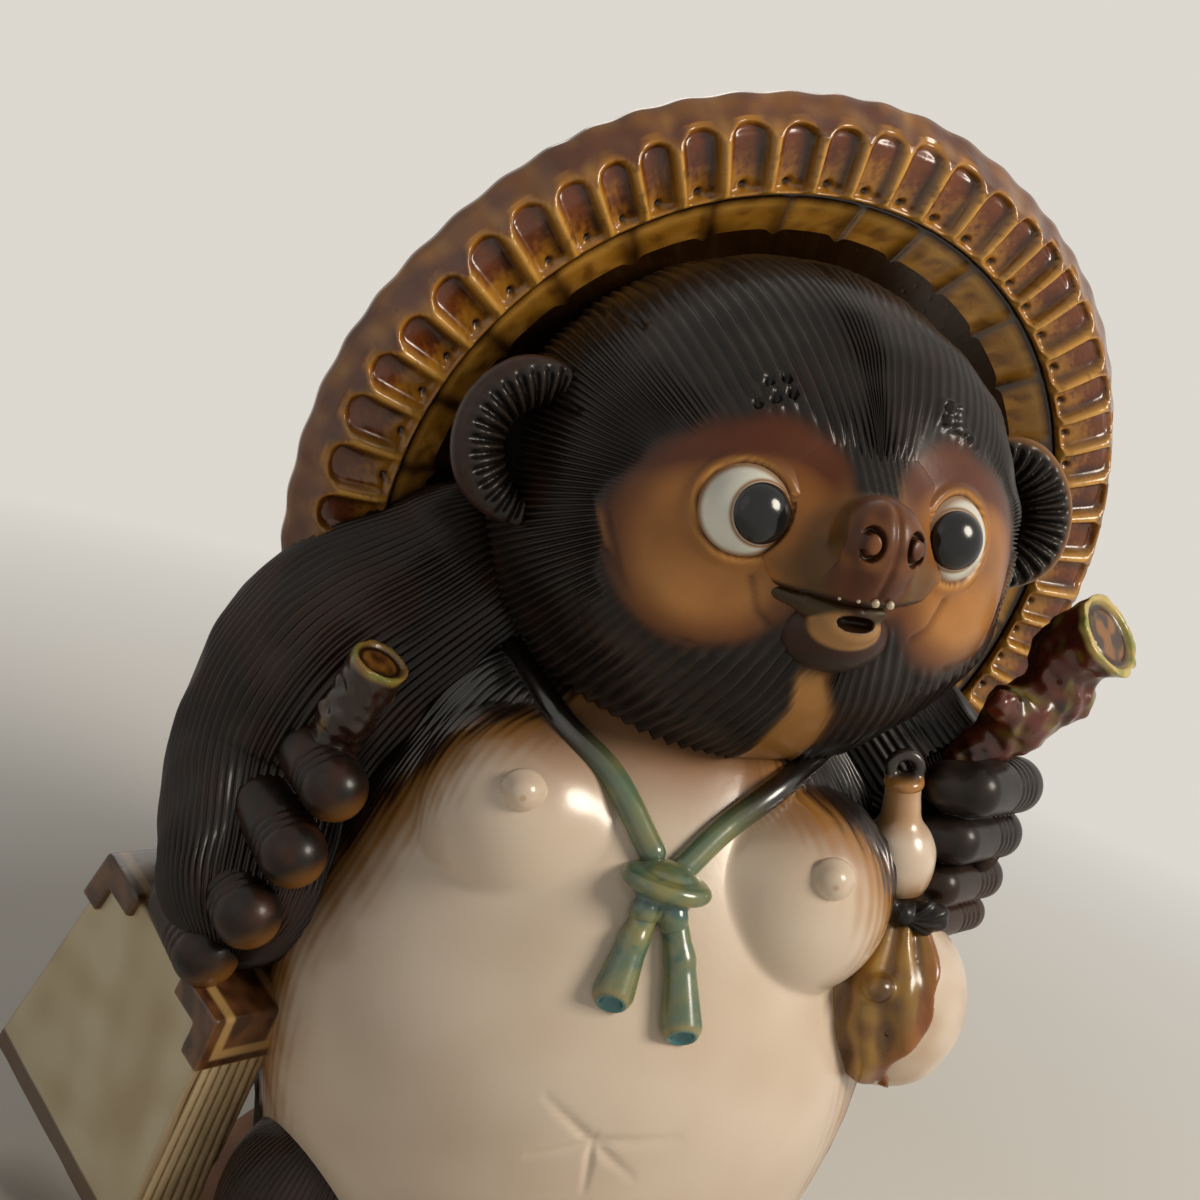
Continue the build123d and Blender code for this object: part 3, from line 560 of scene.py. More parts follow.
DARK = glaze("dark_glaze", 0.36, 0.15, 0.35, 45.0, pits=0.10, comb_depth=0.7, shine=0.2)
CREAM = glaze("cream_glaze", 0.30, 0.45, 0.05, 30.0)
AMBER = glaze("amber_glaze", 0.26, 0.35, 0.40, 70.0, pits=0.25, shine=0.4)
FACE = glaze("face_glaze", 0.38, 0.10, 0.10, 60.0, shine=0.22)
GREEN = glaze("green_glaze", 0.24, 0.60, 0.25, 90.0)
WHITE = glaze("eye_white", 0.28, 0.50, 0.04, 40.0)
BLACK = glaze("eye_black", 0.14, 0.30, 0.30, 60.0, shine=0.3)
BRANCH = glaze("branch_glaze", 0.28, 0.35, 0.30, 80.0, pits=0.2, shine=0.4)
LEDGER = glaze("ledger_glaze", 0.40, 0.25, 0.08, 40.0)
CLAY = glaze("bare_clay", 0.75, 0.0, 0.22, 60.0, pits=0.5)

# HAIR_RIDGE and HAIR_DEEP are hair colours that also serve as a painted highlight on combed ridges and as
# painted shade in grooves, wrinkles and hollows; RECESS is a dark brown that serves as painted shade in
# hollows, gaps, grooves and on shadowed sides, and also for dark speckles on the hat
HAIR_DEEP = colour("#0a0706")
HAIR = colour("#18120f")
HAIR_RIDGE = colour("#2a221d")
HAIR_BROWN = colour("#341c10")
AMBER_EDGE = colour("#8a5a22")
TAN = colour("#96612e")
TAN_LIGHT = colour("#b17b42")
BROWN = colour("#542810")
CREAM_TONE = colour("#dccab6")
CREAM_SHADE = colour("#c4ab90")
HALO = colour("#a8763a")
HONEY = colour("#b07824")
HONEY_LIGHT = colour("#cf9a45")
RECESS = colour("#2b1408")
RED_BROWN = colour("#7a3c14")


# Hat

hat_turn = turns(*HAT_TURNS)
hat_front = -hat_turn[:, 1]


def hat_points(radius, height, angle):
    """Points of the hat from their radius, height towards the front and angle round its middle"""
    flat = np.cos(angle)[..., None] * hat_turn[:, 0] + np.sin(angle)[..., None] * hat_turn[:, 2]
    return np.asarray(HAT_CENTRE) + radius[..., None] * flat + height[..., None] * hat_front


def hat_pieces():
    """Pleated rim, cone and crown of the hat"""
    columns = PLEATS * 16
    angle = full_turn(columns)
    wander = 0.010 * np.sin(5 * angle + 1.0) + 0.008 * np.sin(11 * angle)
    outline = np.array(RIM_OUTLINE)
    knots = np.concatenate(([0], np.cumsum(np.linalg.norm(np.diff(outline, axis=0), axis=1))))
    along = np.linspace(0, knots[-1], 100)
    section = np.stack([np.interp(along, knots, outline[:, i]) for i in (0, 1)], axis=-1)
    share = unit((section[:, 0] - HAT_INNER) / PLEAT_LENGTH)[:, None]
    on_top = (section[:, 1] > 0.4).astype(float)[:, None]
    # Pleats: hollow cells with arched outer ends, thin walls between them and a pin hole near the inner end
    phase = (angle + wander)[None] * PLEATS + 0.5 * share
    across = (np.mod(phase + np.pi, 2 * np.pi) - np.pi) / np.pi
    arch = 0.96 - 0.24 * np.abs(across) ** 2.6 + 0.03 * np.sin(13 * angle)[None]
    cell = on_top * ramp(0.05, -0.09, share - arch) * ramp(0.98, 0.55, np.abs(across))
    uneven = 1 + 0.12 * np.sin(7 * angle) + 0.1 * np.sin(17 * angle + 2.0)
    hollow = cell * (1 - 0.25 * across**2) * uneven[None]
    pitch = 2 * np.pi * (HAT_INNER + 6) / PLEATS
    hole_out = (share - 0.16) * PLEAT_LENGTH / 1.5
    hole_aside = (across - 0.08) * pitch / 2 / 1.5
    hole = bell(hole_out**2 + hole_aside**2) * on_top
    height = section[:, 1][:, None] - 5.2 * hollow * ramp(0.0, 0.10, share) - 2.4 * hole
    band = ramp(0.0, 0.10, share - arch) * on_top + ramp(0.85, 1.0, share) * (1 - on_top)
    radius = section[:, 0][:, None] + band * (0.4 * np.cos(phase) + 0.5 * np.sin(9 * angle)[None])
    points = hat_points(radius, height, np.repeat(angle[None], len(section), axis=0))
    tone = wave_noise(points, 14.0, 3)
    speck = wave_noise(points, 2.6, 4)
    # Thin walls between the cells painted lighter gold: their paler glaze with a painted highlight on top
    paint = mix(HONEY, HONEY_LIGHT, ramp(0.62, 0.95, np.abs(across)) * 0.9)
    inside = mix(HONEY * 0.8, RED_BROWN * 0.7, ramp(0.12, 0.62, share + 0.08 * tone + 0.07 * speck))
    # Painted shadow on one side of each cell
    inside = mix(inside, RECESS, ramp(0.1, 0.75, -across + 0.08 * tone) * ramp(0.02, 0.2, share) * 0.9)
    paint = mix(paint, inside, cell)
    paint = mix(paint, RECESS * 1.5, np.clip(0.3 * speck + 0.25 * tone - 0.35, 0, 0.6))
    # Painted shade in the pin holes
    paint = mix(paint, RECESS * 0.6, np.clip(hole * 1.3, 0, 0.95))
    paint = mix(paint, RED_BROWN * 0.55, band * unit(0.85 + 0.12 * tone))
    # Painted shadow on the rim's inner face below the step
    paint = mix(paint, RECESS * 0.6, (1 - on_top) * ramp(0.08, 0.0, share) * 0.95)
    grid_piece("hat_rim_pleated", points, paint, AMBER, ["hat_rim"])

    # Cone between rim and crown, front and back, with ribs on its hollow side
    columns = 720
    angle = full_turn(columns)
    for name, solid, outer, inner, rows in (
        ("hat_cone", "hat_disc", HAT_INNER, HAT_CROWN, 60),
        ("hat_crown_cap", "hat_crown", HAT_CROWN, 2.0, 24),
    ):
        radius = np.concatenate((np.linspace(inner, outer, rows), np.linspace(outer, inner, rows)))[:, None]
        back = np.concatenate((np.zeros(rows), np.ones(rows)))[:, None]
        turn = angle * HAT_RIBS + 0.4 * np.sin(4 * angle)
        aside = (np.mod(turn + np.pi, 2 * np.pi) - np.pi)[None] * radius / HAT_RIBS
        rib = bell(aside / 2.4) * (1 - back) * ramp(outer, outer - 4, radius)
        height = -HAT_DEPTH * (HAT_INNER - radius) / HAT_INNER - HAT_WALL * back + 1.2 * rib
        radius = radius * np.ones((1, columns))
        points = hat_points(radius, height, np.repeat(angle[None], 2 * rows, axis=0))
        tone = wave_noise(points, 16.0, 5)
        speck = wave_noise(points, 6.0, 6)
        paint = mix(HONEY * 0.85, HONEY_LIGHT, unit(0.2 + 0.2 * tone))
        paint = mix(paint, RED_BROWN * 0.5, np.clip(0.30 * speck + 0.2 * tone, 0, 0.7))
        paint = mix(paint, HONEY_LIGHT, bell((radius - HAT_INNER + 5.0) / 1.6) * 0.8 * (1 - back))
        shadow = bell((aside + 1.5) / 3.0) * (1 - back)
        paint = mix(paint, RECESS, unit(shadow * 0.85))
        # Painted shadow below the rim's inner step, and painted shade that deepens into the cone towards the
        # head
        paint = mix(paint, RECESS * 0.6, ramp(HAT_INNER - 3.6, HAT_INNER - 2.2, radius) * (1 - back))
        deep = ramp(HAT_INNER - 13, HAT_INNER - 27, radius + 3 * tone - 5 * shadow) * (1 - back)
        paint = mix(paint, RECESS * 0.4, deep)
        paint = mix(paint, RED_BROWN, back * (0.55 + 0.2 * tone))
        grid_piece(name, points, paint, AMBER, [solid])


# Body

def parting_gap(degrees, middle):
    """Degrees to the nearest parting of a fan about a middle line"""
    steps = np.round((degrees - middle) / PARTING_STEP)
    most = (PARTINGS - 1) / 2
    return np.abs(degrees - middle - np.clip(steps, -most, most) * PARTING_STEP)


def parting_cut(away):
    """Depth of a parting at a way from its middle"""
    return PARTING_DEPTH * np.exp(-((away / PARTING_HALF) ** 4))


def combed_paint(wave, deep):
    """Dark hair, lighter on the ridges of a comb's waves as a painted highlight and darker in the grooves as
    painted shade
    """
    tint = mix(HAIR, HAIR_RIDGE, unit(wave) * 0.8)
    return mix(tint, HAIR_DEEP, unit(-wave) * deep)


def body_section(height):
    """Half width, half depth and shift of the body at heights"""
    levels = np.array(BODY_LEVELS)
    return [through(levels[:, 0], levels[:, i], height) for i in (1, 2, 3)]


def body_radius(height, angle):
    """The body's reach from its upright axis; angle 0 looks to the front and 90 degrees to its left"""
    width, depth, shift = body_section(height)
    sx = np.sin(angle)
    sy = -np.cos(angle)
    # Reach of the level's ellipse
    a = (sx / width) ** 2 + (sy / depth) ** 2
    b = -2 * sy * shift / depth**2
    c = (shift / depth) ** 2 - 1
    reach = (-b + np.sqrt(np.maximum(b * b - 4 * a * c, 0))) / (2 * a)
    for side in (-1, 1):
        cx = side * BREAST[0] - BODY_X
        dot = sx * cx + sy * BREAST[1]
        gap = dot**2 - (cx**2 + BREAST[1] ** 2 + (height - BREAST[2]) ** 2 - BREAST_RADIUS**2)
        missed = dot + 0.6 * np.minimum(gap, 0) / BREAST_RADIUS
        breast = np.where(gap > 0, dot + np.sqrt(np.maximum(gap, 0)), missed)
        soft = 2.5 + 9.0 * ramp(200.0, 240.0, height)
        reach = -smooth_min(-reach, -breast, soft)
    return reach


def body_front(x, z):
    """The front of the body at places in X and Z"""
    near = np.linspace(-np.pi / 2, np.pi / 2, 361)
    top = BODY_LEVELS[-1][0] - 1.0
    out = []
    for px, pz in zip(x, z):
        reach = body_radius(np.full(near.shape, min(pz, top)), near)
        xs = BODY_X + reach * np.sin(near)
        ys = -reach * np.cos(near)
        pick = np.abs(xs - px) < 2.5
        out.append(ys[pick].min() if pick.any() else ys[np.argmin(np.abs(xs - px))])
    return np.array(out)


def body_pieces():
    """Front and back of the body, with belly, hair and navel"""
    rows = 176
    height = np.linspace(BODY_LEVELS[0][0], BODY_LEVELS[-1][0], rows)
    for name, solid, start, stop, columns, comb_depth, coat in (
        ("body_front", "body_front_shell", -BODY_SEAM, BODY_SEAM, 520, 0.95, CREAM),
        ("body_back", "body_back_shell", BODY_SEAM, 360 - BODY_SEAM, 440, 0.75, DARK),
    ):
        front = name == "body_front"
        angle = np.radians(np.linspace(start, stop, columns))
        z = np.repeat(height[:, None], columns, axis=1)
        turn = np.repeat(angle[None], rows, axis=0)
        reach = body_radius(z, turn)
        points = np.stack((BODY_X + reach * np.sin(turn), -reach * np.cos(turn), z), axis=-1)
        normals = grid_normals(points)
        if front:
            normals[:, 0] = normals[:, 1]
            normals[:, -1] = normals[:, -2]
        middle = (rows // 2, columns // 2)
        if normals[middle] @ (points[middle] - (BODY_X, 0, points[middle][2])) < 0:
            normals = -normals
        degrees = np.abs(np.degrees(turn))
        edge = np.interp(height, BELLY_LEVELS, BELLY_EDGE)[:, None]
        column = np.arange(columns)[None]
        tips = 2.5 * np.sin(column * 0.9 + 2 * np.sin(column * 0.13)) + 1.6 * wave_noise(points, 16.0, 9)
        outside = degrees - edge + tips * 0.7
        groove = comb_waves(rows, columns, 2)
        depth = ramp(-3.0, 9.0, outside) * (0.8 + 0.25 * wave_noise(points, 22.0, 12))
        push = comb_depth * depth * groove + 0.3 * depth * wave_noise(points * (1.6, 1.6, 0.5), 26.0, 14)
        if front:
            strand = np.cos(column * np.pi / 4 + 3 * np.sin(z * 0.02))
            push += 1.2 * ramp(228.0, 244.0, z) * ramp(-2.0, 6.0, outside) * strand
        else:
            away = reach * np.radians(parting_gap(np.degrees(turn), 180.0))
            push -= parting_cut(away) * ramp(37.0, 41.0, z) * ramp(253.0, 249.0, z)
        # Star of creases at the navel
        flat = np.stack((points[..., 0], points[..., 2]), axis=-1)
        star = np.zeros(push.shape)
        for bearing, length in NAVEL_RAYS:
            ray = np.array((np.cos(np.radians(bearing)), np.sin(np.radians(bearing))))
            tip = np.array(NAVEL) + ray * length
            away = path_distance(flat, [np.array(NAVEL) - ray, tip])
            fade = 1 - unit(((flat - NAVEL) @ ray) / length) * 0.75
            star = np.maximum(star, fade * bell(away / (0.8 + 0.9 * fade)))
        push -= np.where(points[..., 1] < 0, 1.8 * star, 0)
        points = points + normals * push[..., None]
        tone = wave_noise(points, 40.0, 21)
        paint = mottled(CREAM_TONE, CREAM_SHADE, 0.15, 0.12, tone)
        paint = mix(paint, HALO, ramp(-16.0, -2.0, outside))
        paint = mix(paint, HAIR_BROWN, ramp(-4.0, 3.0, outside))
        # Combed hair with a painted highlight on its ridges and painted shade in its grooves
        dark = mix(HAIR, HAIR_RIDGE, unit(0.5 + 0.5 * groove) * 0.8)
        dark = mix(dark, HAIR_DEEP, unit(-groove) * 0.7)
        paint = mix(paint, dark, ramp(1.0, 9.0, outside))
        # Tan glaze below the chin, its own colour darkened as a painted shadow of the head
        neck = ramp(228.0, 260.0, z) * ramp(0.0, -10.0, outside)
        paint = mix(paint, TAN * 0.8, neck * 0.9)
        grid_piece(name, points, paint, coat, [solid])


# Head

head_turn = turns(*HEAD_TURNS)
HEAD_PLACE = (head_turn, np.array(HEAD_CENTRE))


def from_head(points):
    """Points of the head's own frame, in the shared frame"""
    return points @ head_turn.T + HEAD_CENTRE


def above_head(p):
    """Height above the plain round form of the head, about true near it"""
    return (norm((p - HEAD_SHIFT) / HEAD_RADII) - 1) * HEAD_RADII[1]


def head_skin(spot):
    """Points of the head from spots of a map in degrees round the middle of the face"""
    reach = np.maximum(norm(spot), 1e-6)
    angle = np.radians(reach)
    way = np.stack(
        (np.sin(angle) * spot[..., 0] / reach, -np.cos(angle), np.sin(angle) * spot[..., 1] / reach), axis=-1
    )
    radius = 1 / norm(way / HEAD_RADII)
    cheek = np.exp(-(((np.abs(spot[..., 0]) - 40) / 17) ** 2 + ((spot[..., 1] + 24) / 15) ** 2))
    return way * (radius + 4.0 * cheek)[..., None] + HEAD_SHIFT


def face_edge(spot):
    """Millimetres outside the edge of the brown face, below zero inside it"""
    x = np.abs(spot[..., 0])
    z = spot[..., 1]
    lobe = (np.hypot((x - 31) / 22, (z + 6) / 22.5) - 1) * 22
    brow = (np.hypot((x - 21) / 16.5, (z - 5) / 15.5) - 1) * 15.5
    mouth = (np.hypot(x / 24, (z + 6) / 12) - 1) * 12
    return 1.6 * smooth_min(smooth_min(lobe, brow, 4.0), mouth, 2.0)


def face_spot(p):
    """The spot of the face's map that lies below points in front of the head"""
    x, y, z = parts(direction(p - HEAD_SHIFT))
    angle = np.degrees(np.arccos(np.clip(-y, -1, 1)))
    aside = np.maximum(np.hypot(x, z), 1e-6)
    return np.stack((x, z), axis=-1) * (angle / aside)[..., None]


def face_paint(points, edge):
    """Brown of the face, darker over the eyes and towards its edge"""
    z = points[..., 2]
    tone = wave_noise(points, 26.0, 35)
    paint = mix(TAN, TAN_LIGHT, unit(ramp(0.0, -34.0, z) * 0.8 + 0.1 * tone))
    paint = mix(paint, BROWN, unit(ramp(6.0, 26.0, z) * 0.95 + ramp(-15.0, -3.0, edge) * 0.75))
    return mix(paint, BROWN * 0.55, ramp(-5.0, 3.0, edge))


def hair_share(points, edge):
    """How far the dark hair has taken over from the brown of the face"""
    return ramp(-3.0, 4.5, edge + wave_noise(points, 26.0, 35))


def eye_centre(side):
    """Middle of an eyeball in the head's frame; the left one sits nearer to the nose"""
    nearer = np.array(LEFT_EYE_SHIFT) if side > 0 else np.zeros(3)
    return np.array((side * EYE[0], EYE[1], EYE[2])) + nearer


def map_path(side, places):
    """Points of the head at places given by their way out to a side and height in its own frame"""
    out, z = np.array(places, float).T
    inside = 1 - (out / HEAD_RADII[0]) ** 2 - ((z - HEAD_SHIFT[2]) / HEAD_RADII[2]) ** 2
    y = HEAD_SHIFT[1] - HEAD_RADII[1] * np.sqrt(np.maximum(inside, 0))
    return np.stack((side * out, y, z), axis=-1)


def head_piece():
    """Head with its combed hair and carved face"""
    grooves = 168
    columns = grooves * 4
    u = np.linspace(-np.pi / 2, 3 * np.pi / 2, columns, endpoint=False)
    lobes = ramp(0.10, 0.75, np.abs(np.cos(u)))
    focus_x = 26.0 * np.sign(np.cos(u)) * lobes
    focus_z = 2.0 + (1 - lobes) * np.where(np.sin(u) > 0, 10.0, -20.0)
    inner = np.linspace(0.08, 1.0, 8)[:, None]
    runs = ((0.5, 62, 78), (63.5, 100, 26), (104, 178, 20))
    reach = np.concatenate([np.linspace(*run) for run in runs])[:, None]
    fade = 1 - ramp(20.0, 150.0, reach)
    spot_x = np.concatenate((inner * focus_x, reach * np.cos(u) + fade * focus_x))
    spot_z = np.concatenate((inner * focus_z, reach * np.sin(u) + fade * focus_z))
    spot = np.stack((spot_x, spot_z), axis=-1)
    points = head_skin(spot)
    normals = direction((points - HEAD_SHIFT) / np.square(HEAD_RADII))
    edge = face_edge(spot)
    x, y, z = (points[..., i] for i in range(3))
    throat_middle = np.interp(z, (-72.0, -60.0, -48.0), (2.5, 1.5, -5.0))
    throat_half = np.interp(z, (-72.0, -60.0, -48.0), (10.2, 7.9, 5.5))
    throat = ramp(2.5, -2.5, np.abs(x - throat_middle) - throat_half) * ramp(-42.0, -48.0, z) * (y < 0)
    hair = ramp(0.5, 7.0, edge + 1.5 * wave_noise(points, 14.0, 31)) * (1 - throat)
    groove = comb_waves(len(points), columns, 2)
    lock = wave_noise(points, 24.0, 33)
    push = hair * (1.0 * groove * (0.9 + 0.2 * lock) + 0.2 * lock + 0.6)
    away = np.hypot(x, z) * np.radians(parting_gap(np.degrees(np.arctan2(z, x)), 90.0))
    push -= parting_cut(away) * ramp(-42.0, -38.0, y)
    # Carved edge of the cheek, arcs on the cheeks and at the corners of the mouth
    crease = np.zeros(push.shape)
    bright = np.zeros(push.shape)
    for side in (-1, 1):
        away = path_distance(points, map_path(side, CHEEK_LINE))
        push += 1.5 * bell(away / 1.3) - 1.0 * bell((away - 2.6) / 1.2) * (edge < 0)
        bright = np.maximum(bright, bell(away / 1.0) * ramp(5.0, 1.0, edge))
        crease = np.maximum(crease, bell((away - 2.4) / 1.0) * (edge < 0) * 0.8)
        dashes = map_path(side, CHEEK_DASHES)
        for share in np.linspace(0.04, 0.96, 9):
            dash = through(np.linspace(0, 1, len(dashes)), dashes, np.array((share - 0.03, share + 0.03)))
            push -= 1.3 * bell(path_distance(points, dash) / 0.9)
        for arc in (CHEEK_ARC, MOUTH_ARC):
            away = path_distance(points, map_path(side, arc))
            push -= 1.5 * bell(away / 1.2)
            crease = np.maximum(crease, bell(away / 1.2))
        for dot in map_path(side, BROW_DOTS):
            away = norm(points - dot)
            push -= 2.4 * np.exp(-((away / 1.7) ** 4)) - 0.9 * bell((away - 2.7) / 0.8)
        for dot in map_path(side, CHEEK_DOTS):
            away = norm(points - dot)
            push += 1.5 * bell(away / 1.5)
        away = norm(points - eye_centre(side))
        push += 1.5 * bell((away - EYE_RADIUS - 1.6) / 1.4) - 2.0 * ramp(EYE_RADIUS, EYE_RADIUS - 3, away)
    points = points + normals * push[..., None]
    tone = wave_noise(points, 26.0, 35)
    paint = face_paint(points, edge)
    # Painted shade in the carved creases of the cheeks and the corners of the mouth
    paint = mix(paint, BROWN * 0.4, crease * 0.8)
    # Combed hair with a painted highlight on its ridges and painted shade in its grooves
    dark = mix(combed_paint(groove, 0.75), HAIR_BROWN, np.clip(0.25 * tone - 0.1, 0, 0.4))
    paint = mix(paint, dark, hair_share(points, edge))
    paint = mix(paint, HALO * 0.8, throat)
    # Lighter raised edge of the cheek line: partly the glaze thinning on the edge, partly a painted highlight
    paint = mix(paint, TAN_LIGHT, bright * 0.7)
    for side in (-1, 1):
        away = norm(points - eye_centre(side))
        paint = mix(paint, colour("#c08a48"), bell((away - EYE_RADIUS - 1.4) / 0.9) * 0.85)
        paint = mix(paint, BROWN * 0.5, bell((away - EYE_RADIUS) / 0.6) * 0.9)
    grid_piece("head_skin", from_head(points), paint, DARK, ["head_shell", "forelock"])


def eye_pieces():
    """Eyeballs and pupils"""
    tilt = np.radians(np.linspace(1, 100, 90))[:, None]
    angle = full_turn(120)[None]
    aside = np.cos(angle)
    upward = np.sin(angle)
    ones = np.ones_like(angle)
    for name, side in SIDES:
        centre = eye_centre(side)
        way = np.stack((np.sin(tilt) * aside, -np.cos(tilt) * ones, np.sin(tilt) * upward), axis=-1)
        points = centre + EYE_RADIUS * way
        ring = np.degrees(tilt) * ones
        pupil_edge = np.degrees(np.arcsin(PUPIL_RADIUS / EYE_RADIUS))
        # White of the eye, greyer towards its lower part as painted shade
        paint = mix(colour("#dcdccf"), colour("#c3c6bb"), ramp(0.2, 1.0, -way[..., 2]))
        paint = mix(paint, colour("#8a5a26"), bell((ring - pupil_edge - 2.0) / 2.4))
        skin = norm((points - HEAD_SHIFT) / HEAD_RADII) - 1
        paint = mix(paint, colour("#8a5c2c"), ramp(0.035, 0.012, skin) * 0.8)
        grid_piece(f"{name}_eye", from_head(points), paint, WHITE, [f"{name}_eyeball"])
        # Pupil: a low glossy dome on the eyeball
        share = np.linspace(0.02, 1.0, 40)[:, None]
        level = np.sqrt(EYE_RADIUS**2 - PUPIL_RADIUS**2)
        dome = level + 6.2 * np.sqrt(unit(1 - share**2)) - 0.4
        dome = np.concatenate((dome, [[level - 2.5]]))
        share = np.concatenate((share, [[1.0]]))
        across = PUPIL_RADIUS * share
        points = centre + np.stack((across * aside, -dome * ones, across * upward), axis=-1)
        paint = np.ones(points.shape) * colour("#141517")
        grid_piece(f"{name}_pupil_dome", from_head(points), paint, BLACK, [f"{name}_pupil"])


def straight_muzzle(p):
    """Points with the turn of the muzzle taken out"""
    return p - ramp(-72.0, -104.0, p[..., 1])[..., None] * MUZZLE_TURN


def snout_lip(p):
    """Height above the line of the upper lip"""
    q = straight_muzzle(p)
    return q[..., 2] + 21.0 - 0.0035 * q[..., 0] ** 2


def snout_form(p):
    """Muzzle and nose as one form: a cone with a broad nose at its tip, cut below to a wide smile"""
    q = straight_muzzle(p)
    mirrored = np.concatenate((np.abs(q[..., :1]), q[..., 1:]), axis=-1)
    d = limb(q, (0, -66, -8), (0, -104, -3), 37, 15)
    d = smooth_min(d, ball(mirrored, (12, -88, -13), (17, 13, 10)), 7)
    d = smooth_min(d, ball(q, (0, -90, 12), (9, 12, 8)), 8)
    d = smooth_min(d, ball(q, (0, -109, 1.0), (11.5, 9.5, 11.0)), 5)
    d = smooth_min(d, ball(mirrored, (7.4, -111.5, -2.0), (5.6, 7.0, 7.0)), 3)
    d = smooth_min(d, ball(q, (0, -99, -14), (15, 13, 9)), 6)
    # Nostrils: a ring cut round a curl of clay, with a crease that runs back along the wing of the nose
    x, y, z = parts(mirrored - NOSTRIL)
    across = np.hypot(x / NOSTRIL_STRETCH[0], z / NOSTRIL_STRETCH[1])
    ring = np.hypot(across - NOSTRIL_RING, y * 0.35) - 1.35
    ring = np.maximum(ring, -(np.hypot(x - 3.4, z - 0.5) - 2.2))
    d = carve(d, ring, 0.8)
    wing = path_distance(mirrored, np.array(((9.5, -118, -6.5), (14.0, -113, -8.0), (15.5, -106, -7.0))))
    d = carve(d, wing - 1.1, 1.2)
    d = d + 0.8 * bell(q[..., 0] / 1.3) * ramp(-108.0, -113.0, q[..., 1])
    return carve(d, snout_lip(p), 1.2)


def muzzle_pieces():
    """Muzzle, nose and lower lip"""
    def muzzle(p):
        """The snout with a soft fillet round its root, cut back inside the head and round the eyes"""
        snout = snout_form(p)
        head = above_head(p)
        fillet = ramp(0.0, 9.0, snout_lip(p))
        d = snout + fillet * (smooth_min(snout, head, MUZZLE_FILLET) - snout)
        # Forelock that is combed down on to the bridge of the nose
        d = d + 0.5 * ramp(-1.0, 3.0, face_edge(face_spot(p))) * np.cos(p[..., 0] * 2 * np.pi / LOCK_PITCH)
        d = np.maximum(np.maximum(d, snout - MUZZLE_FILLET + 1), -4.0 - head)
        for side in (-1, 1):
            d = carve(d, norm(p - eye_centre(side)) - EYE_RADIUS - 1.0, 0.8)
        return d

    def painted_lip_shade(p, tint):
        """Colours with the dark line along the upper lip, a painted shade under the lip's edge"""
        return mix(tint, RECESS * 0.7, ramp(2.2, 0.6, snout_lip(p)) * 0.95)

    def muzzle_paint(p):
        x, y, z = parts(straight_muzzle(p))
        tone = wave_noise(p, 20.0, 41)
        proud = above_head(p)
        cheek = np.maximum(ramp(2.0, 0.3, proud), unit(0.10 + 0.10 * tone + ramp(9.0, 0.6, proud)))
        edge = face_edge(face_spot(p))
        # Forelock lines on the bridge with a painted highlight on their ridges
        ridge = unit(-np.cos(p[..., 0] * 2 * np.pi / LOCK_PITCH))
        skin = mix(face_paint(p, edge), mix(HAIR, HAIR_RIDGE, ridge), hair_share(p, edge))
        tint = mix(colour("#4a3617"), skin, cheek)
        tint = mix(tint, TAN * 0.9, bell((y + 103) / 4.0) * ramp(-4, 2, z) * 0.6)
        tint = mix(tint, HAIR, ramp(10, 15, z) * ramp(11, 6, np.abs(x)))
        return painted_lip_shade(p, tint)

    low = (-50, -124, -40)
    voxel_piece("muzzle", muzzle, low, (50, -56, 48), 0.75, muzzle_paint, FACE, ["snout"], HEAD_PLACE)
    nose_middle = np.array((0.0, -111.0, -1.5)) + MUZZLE_TURN

    def nose(p):
        x, y, z = parts(p)
        back = y + 102.0 - 0.05 * z ** 2 + 0.02 * x ** 2
        return carve(snout_form(p) - 0.3, -back, 1.0)

    def nose_paint(p):
        x, y, z = parts(straight_muzzle(p))
        tone = wave_noise(p, 9.0, 43)
        front = mottled(colour("#55301c"), colour("#7c4e2c"), 0.4, 0.3, tone)
        front = mix(front, BROWN * 0.8, ramp(-6, -14, z) * 0.7)
        tint = mix(muzzle_paint(p), front, ramp(-102, -109, y))
        aside = (np.abs(x) - NOSTRIL[0]) / NOSTRIL_STRETCH[0]
        upward = (z - NOSTRIL[2]) / NOSTRIL_STRETCH[1]
        # Painted shade in the carved rings of the nostrils
        ring = bell((np.hypot(aside, upward) - NOSTRIL_RING) / 1.2) * (y < -108.0)
        return painted_lip_shade(p, mix(tint, RECESS * 0.7, ring * 0.85))

    low = nose_middle - (20, 14, 22)
    high = nose_middle + (20, 16, 18)
    voxel_piece("nose_ball", nose, low, high, 0.5, nose_paint, FACE, ["nose"], HEAD_PLACE)
    lip_line = np.array(LIP_LINE)

    def scoop(p):
        return ball(p, np.array(LIP_SCOOP), np.array(LIP_SCOOP_RADII))

    def lip_ball(p):
        return ball(p, (-4.5, -93, -28.0), (12.0, 9.0, 7.0))

    def jaw(p):
        chin = ball(p, (-2.5, -81, -31), (19.5, 15, 14))
        d = smooth_min(chin, lip_ball(p), 3.0)
        # A roll below the line of the mouth, from corner to corner
        for start, stop, thick, thin in zip(lip_line[:-1], lip_line[1:], (2.2, 3.4, 4.0), (3.4, 4.0, 2.0)):
            d = smooth_min(d, limb(p, start, stop, thick, thin), 2.5)
        return carve(d, scoop(p), 1.0)

    def jaw_paint(p):
        x, y, z = parts(p)
        # Dark brown chin, its own colour and partly a painted shadow below the mouth, with dark hair at its
        # foot
        tint = mix(BROWN * 0.4, HAIR_BROWN, ramp(8, 16, np.abs(x + 2.5)) * 0.8)
        tint = mix(tint, HAIR, ramp(-34, -42, z) * 0.8)
        tint = mix(tint, colour("#a07648"), ramp(1.8, 0.5, lip_ball(p)) * ramp(-90, -94, y))
